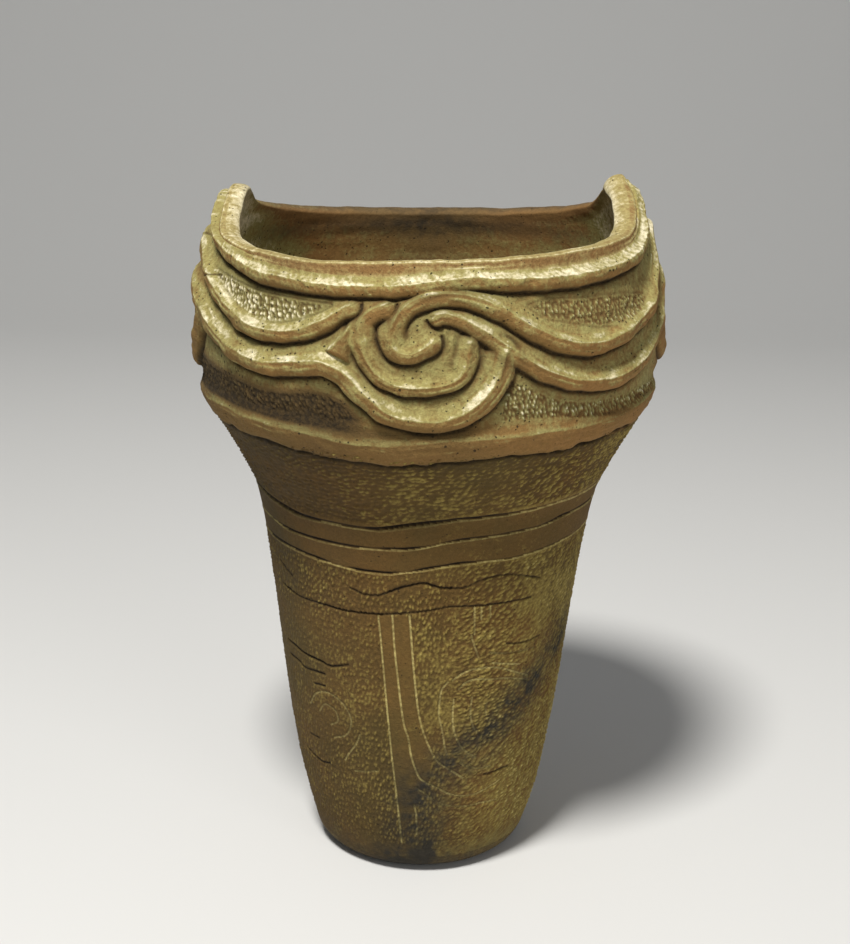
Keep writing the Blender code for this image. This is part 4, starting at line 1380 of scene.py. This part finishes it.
# Triangular pads: a pinch of clay in the gap between each swirl and the garlands at its left. It is pressed
# flat onto the collar and smoothed in at its edges.
PAD_CUTS = 20
PAD_START = 8.0
PAD_DEPTH = 4.0
PAD_SPREAD = 1.06
for face_name, turn in (("front", 0), ("back", 180)):
    corners = np.array(TRIANGLE_PAD)
    corners[:, 1] += lean(corners[:, 0] + turn)
    bpy.ops.object.select_all(action="DESELECT")
    bpy.ops.mesh.primitive_circle_add(
        vertices=3, radius=PAD_START * MM, fill_type="NGON", location=(0, 0, 0)
    )
    pad = bpy.context.object
    pad.name = f"clay_{face_name}_pad"
    bpy.ops.object.mode_set(mode="EDIT")
    bpy.ops.mesh.select_all(action="SELECT")
    bpy.ops.mesh.subdivide(number_cuts=PAD_CUTS)
    bpy.ops.mesh.select_all(action="SELECT")
    bpy.ops.mesh.extrude_region_move(TRANSFORM_OT_translate={"value": (0, 0, -PAD_DEPTH * MM)})
    bpy.ops.mesh.select_all(action="SELECT")
    bpy.ops.mesh.normals_make_consistent(inside=False)
    bpy.ops.object.mode_set(mode="OBJECT")
    place = coordinates(pad) / MM
    tips = PAD_START * np.array([(np.sin(t), np.cos(t)) for t in np.radians((0, 120, 240))])
    matrix = np.vstack([tips.T, np.ones(3)])
    weights = np.linalg.solve(matrix, np.vstack([place[:, 0], place[:, 1], np.ones(len(place))])).T
    grown = corners.mean(axis=0) + PAD_SPREAD * (corners - corners.mean(axis=0))
    angle = weights @ grown[:, 0] + turn
    height = weights @ grown[:, 1]
    on_top = place[:, 2] > -PAD_DEPTH / 2
    ground, form, _, notes = collar_skin(angle, height)
    edge = weights.min(axis=1) * 12
    top = ground + form + 0.05 - EDGE_DIVE * eased(1 - edge / 0.7)
    points = on_wall(angle, height, np.where(on_top, top, ground - EDGE_DIVE - 0.1))
    give_surface(pad, points, notes, up_the_wall(angle, height), ~on_top, rope_clay)
    stand_for(pad, f"{face_name}_triangle_pad")


# Studio: a plain pale floor that bends up behind, soft lamps, and the camera at the viewing angle of the
# photograph. None of it is part of the jar. Sizes here are metres.
BACKDROP_WIDTH = 9.0
BACKDROP_BACK = 3.2
BACKDROP_HEIGHT = 4.0
BACKDROP_BEND = 1.6
bpy.ops.object.select_all(action="DESELECT")
bpy.ops.mesh.primitive_plane_add(size=BACKDROP_WIDTH, location=(0, BACKDROP_BACK - BACKDROP_WIDTH / 2, 0))
floor = bpy.context.object
floor.name = "floor"
bpy.ops.object.transform_apply(location=True, rotation=False, scale=False)
bpy.ops.object.mode_set(mode="EDIT")
bpy.ops.mesh.select_mode(type="EDGE")
pick_edges(floor, lambda edge, a, b: min(a.y, b.y) > BACKDROP_BACK - 0.01)
bpy.ops.mesh.extrude_edges_move(TRANSFORM_OT_translate={"value": (0, 0, BACKDROP_HEIGHT)})
pick_edges(floor, lambda edge, a, b: min(a.y, b.y) > BACKDROP_BACK - 0.01 and max(a.z, b.z) < 0.01)
bpy.ops.mesh.bevel(offset=BACKDROP_BEND, segments=24)
bpy.ops.object.mode_set(mode="OBJECT")
floor.data.shade_smooth()
floor_paint = bpy.data.materials.new("pale_floor")
floor_paint.use_nodes = True
paint = floor_paint.node_tree.nodes["Principled BSDF"]
paint.inputs["Base Color"].default_value = (0.68, 0.68, 0.67, 1)
paint.inputs["Roughness"].default_value = 0.95
floor.data.materials.append(floor_paint)


def lamp(name, place, target, size, power, colour):
    """A round soft lamp at this place, turned towards its target."""
    data = bpy.data.lights.new(name, "AREA")
    data.shape = "DISK"
    data.size = size
    data.energy = power
    data.color = colour
    obj = bpy.data.objects.new(name, data)
    bpy.context.scene.collection.objects.link(obj)
    obj.location = place
    obj.rotation_euler = (Vector(target) - Vector(place)).to_track_quat("-Z", "Y").to_euler()


lamp("key_lamp", (-0.4, -1.12, 2.36), (0, 0, 0.28), 0.5, 78, (1.0, 0.98, 0.94))
lamp("fill_lamp", (1.3, -2.0, 1.0), (0, 0, 0.2), 1.2, 9, (1.0, 0.98, 0.95))

world = bpy.data.worlds.new("studio")
bpy.context.scene.world = world
world.use_nodes = True
sky = world.node_tree.nodes["Background"]
sky.inputs["Color"].default_value = (0.95, 0.97, 1.0, 1)
sky.inputs["Strength"].default_value = 0.17

TILT = radians(15.35)
ROLL = radians(0.93)
DISTANCE = 0.94545
SENSOR = 36.0
FOCAL_PIXELS = 1650
FRAME_PIXELS = 944
TARGET = Vector((-0.00045, 0, 0.2216))
forward = Vector((0, cos(TILT), -sin(TILT)))
right = Vector((1, 0, 0))
upward = right.cross(forward)
across = right * cos(ROLL) + upward * sin(ROLL)
over = upward * cos(ROLL) - right * sin(ROLL)
camera_data = bpy.data.cameras.new("camera")
camera_data.sensor_width = SENSOR
camera_data.lens = SENSOR * FOCAL_PIXELS / FRAME_PIXELS
camera = bpy.data.objects.new("camera", camera_data)
bpy.context.scene.collection.objects.link(camera)
facing = Matrix((across, over, -forward)).transposed().to_4x4()
camera.matrix_world = Matrix.Translation(TARGET - forward * DISTANCE) @ facing
bpy.context.scene.camera = camera
bpy.context.scene.view_settings.view_transform = "Standard"
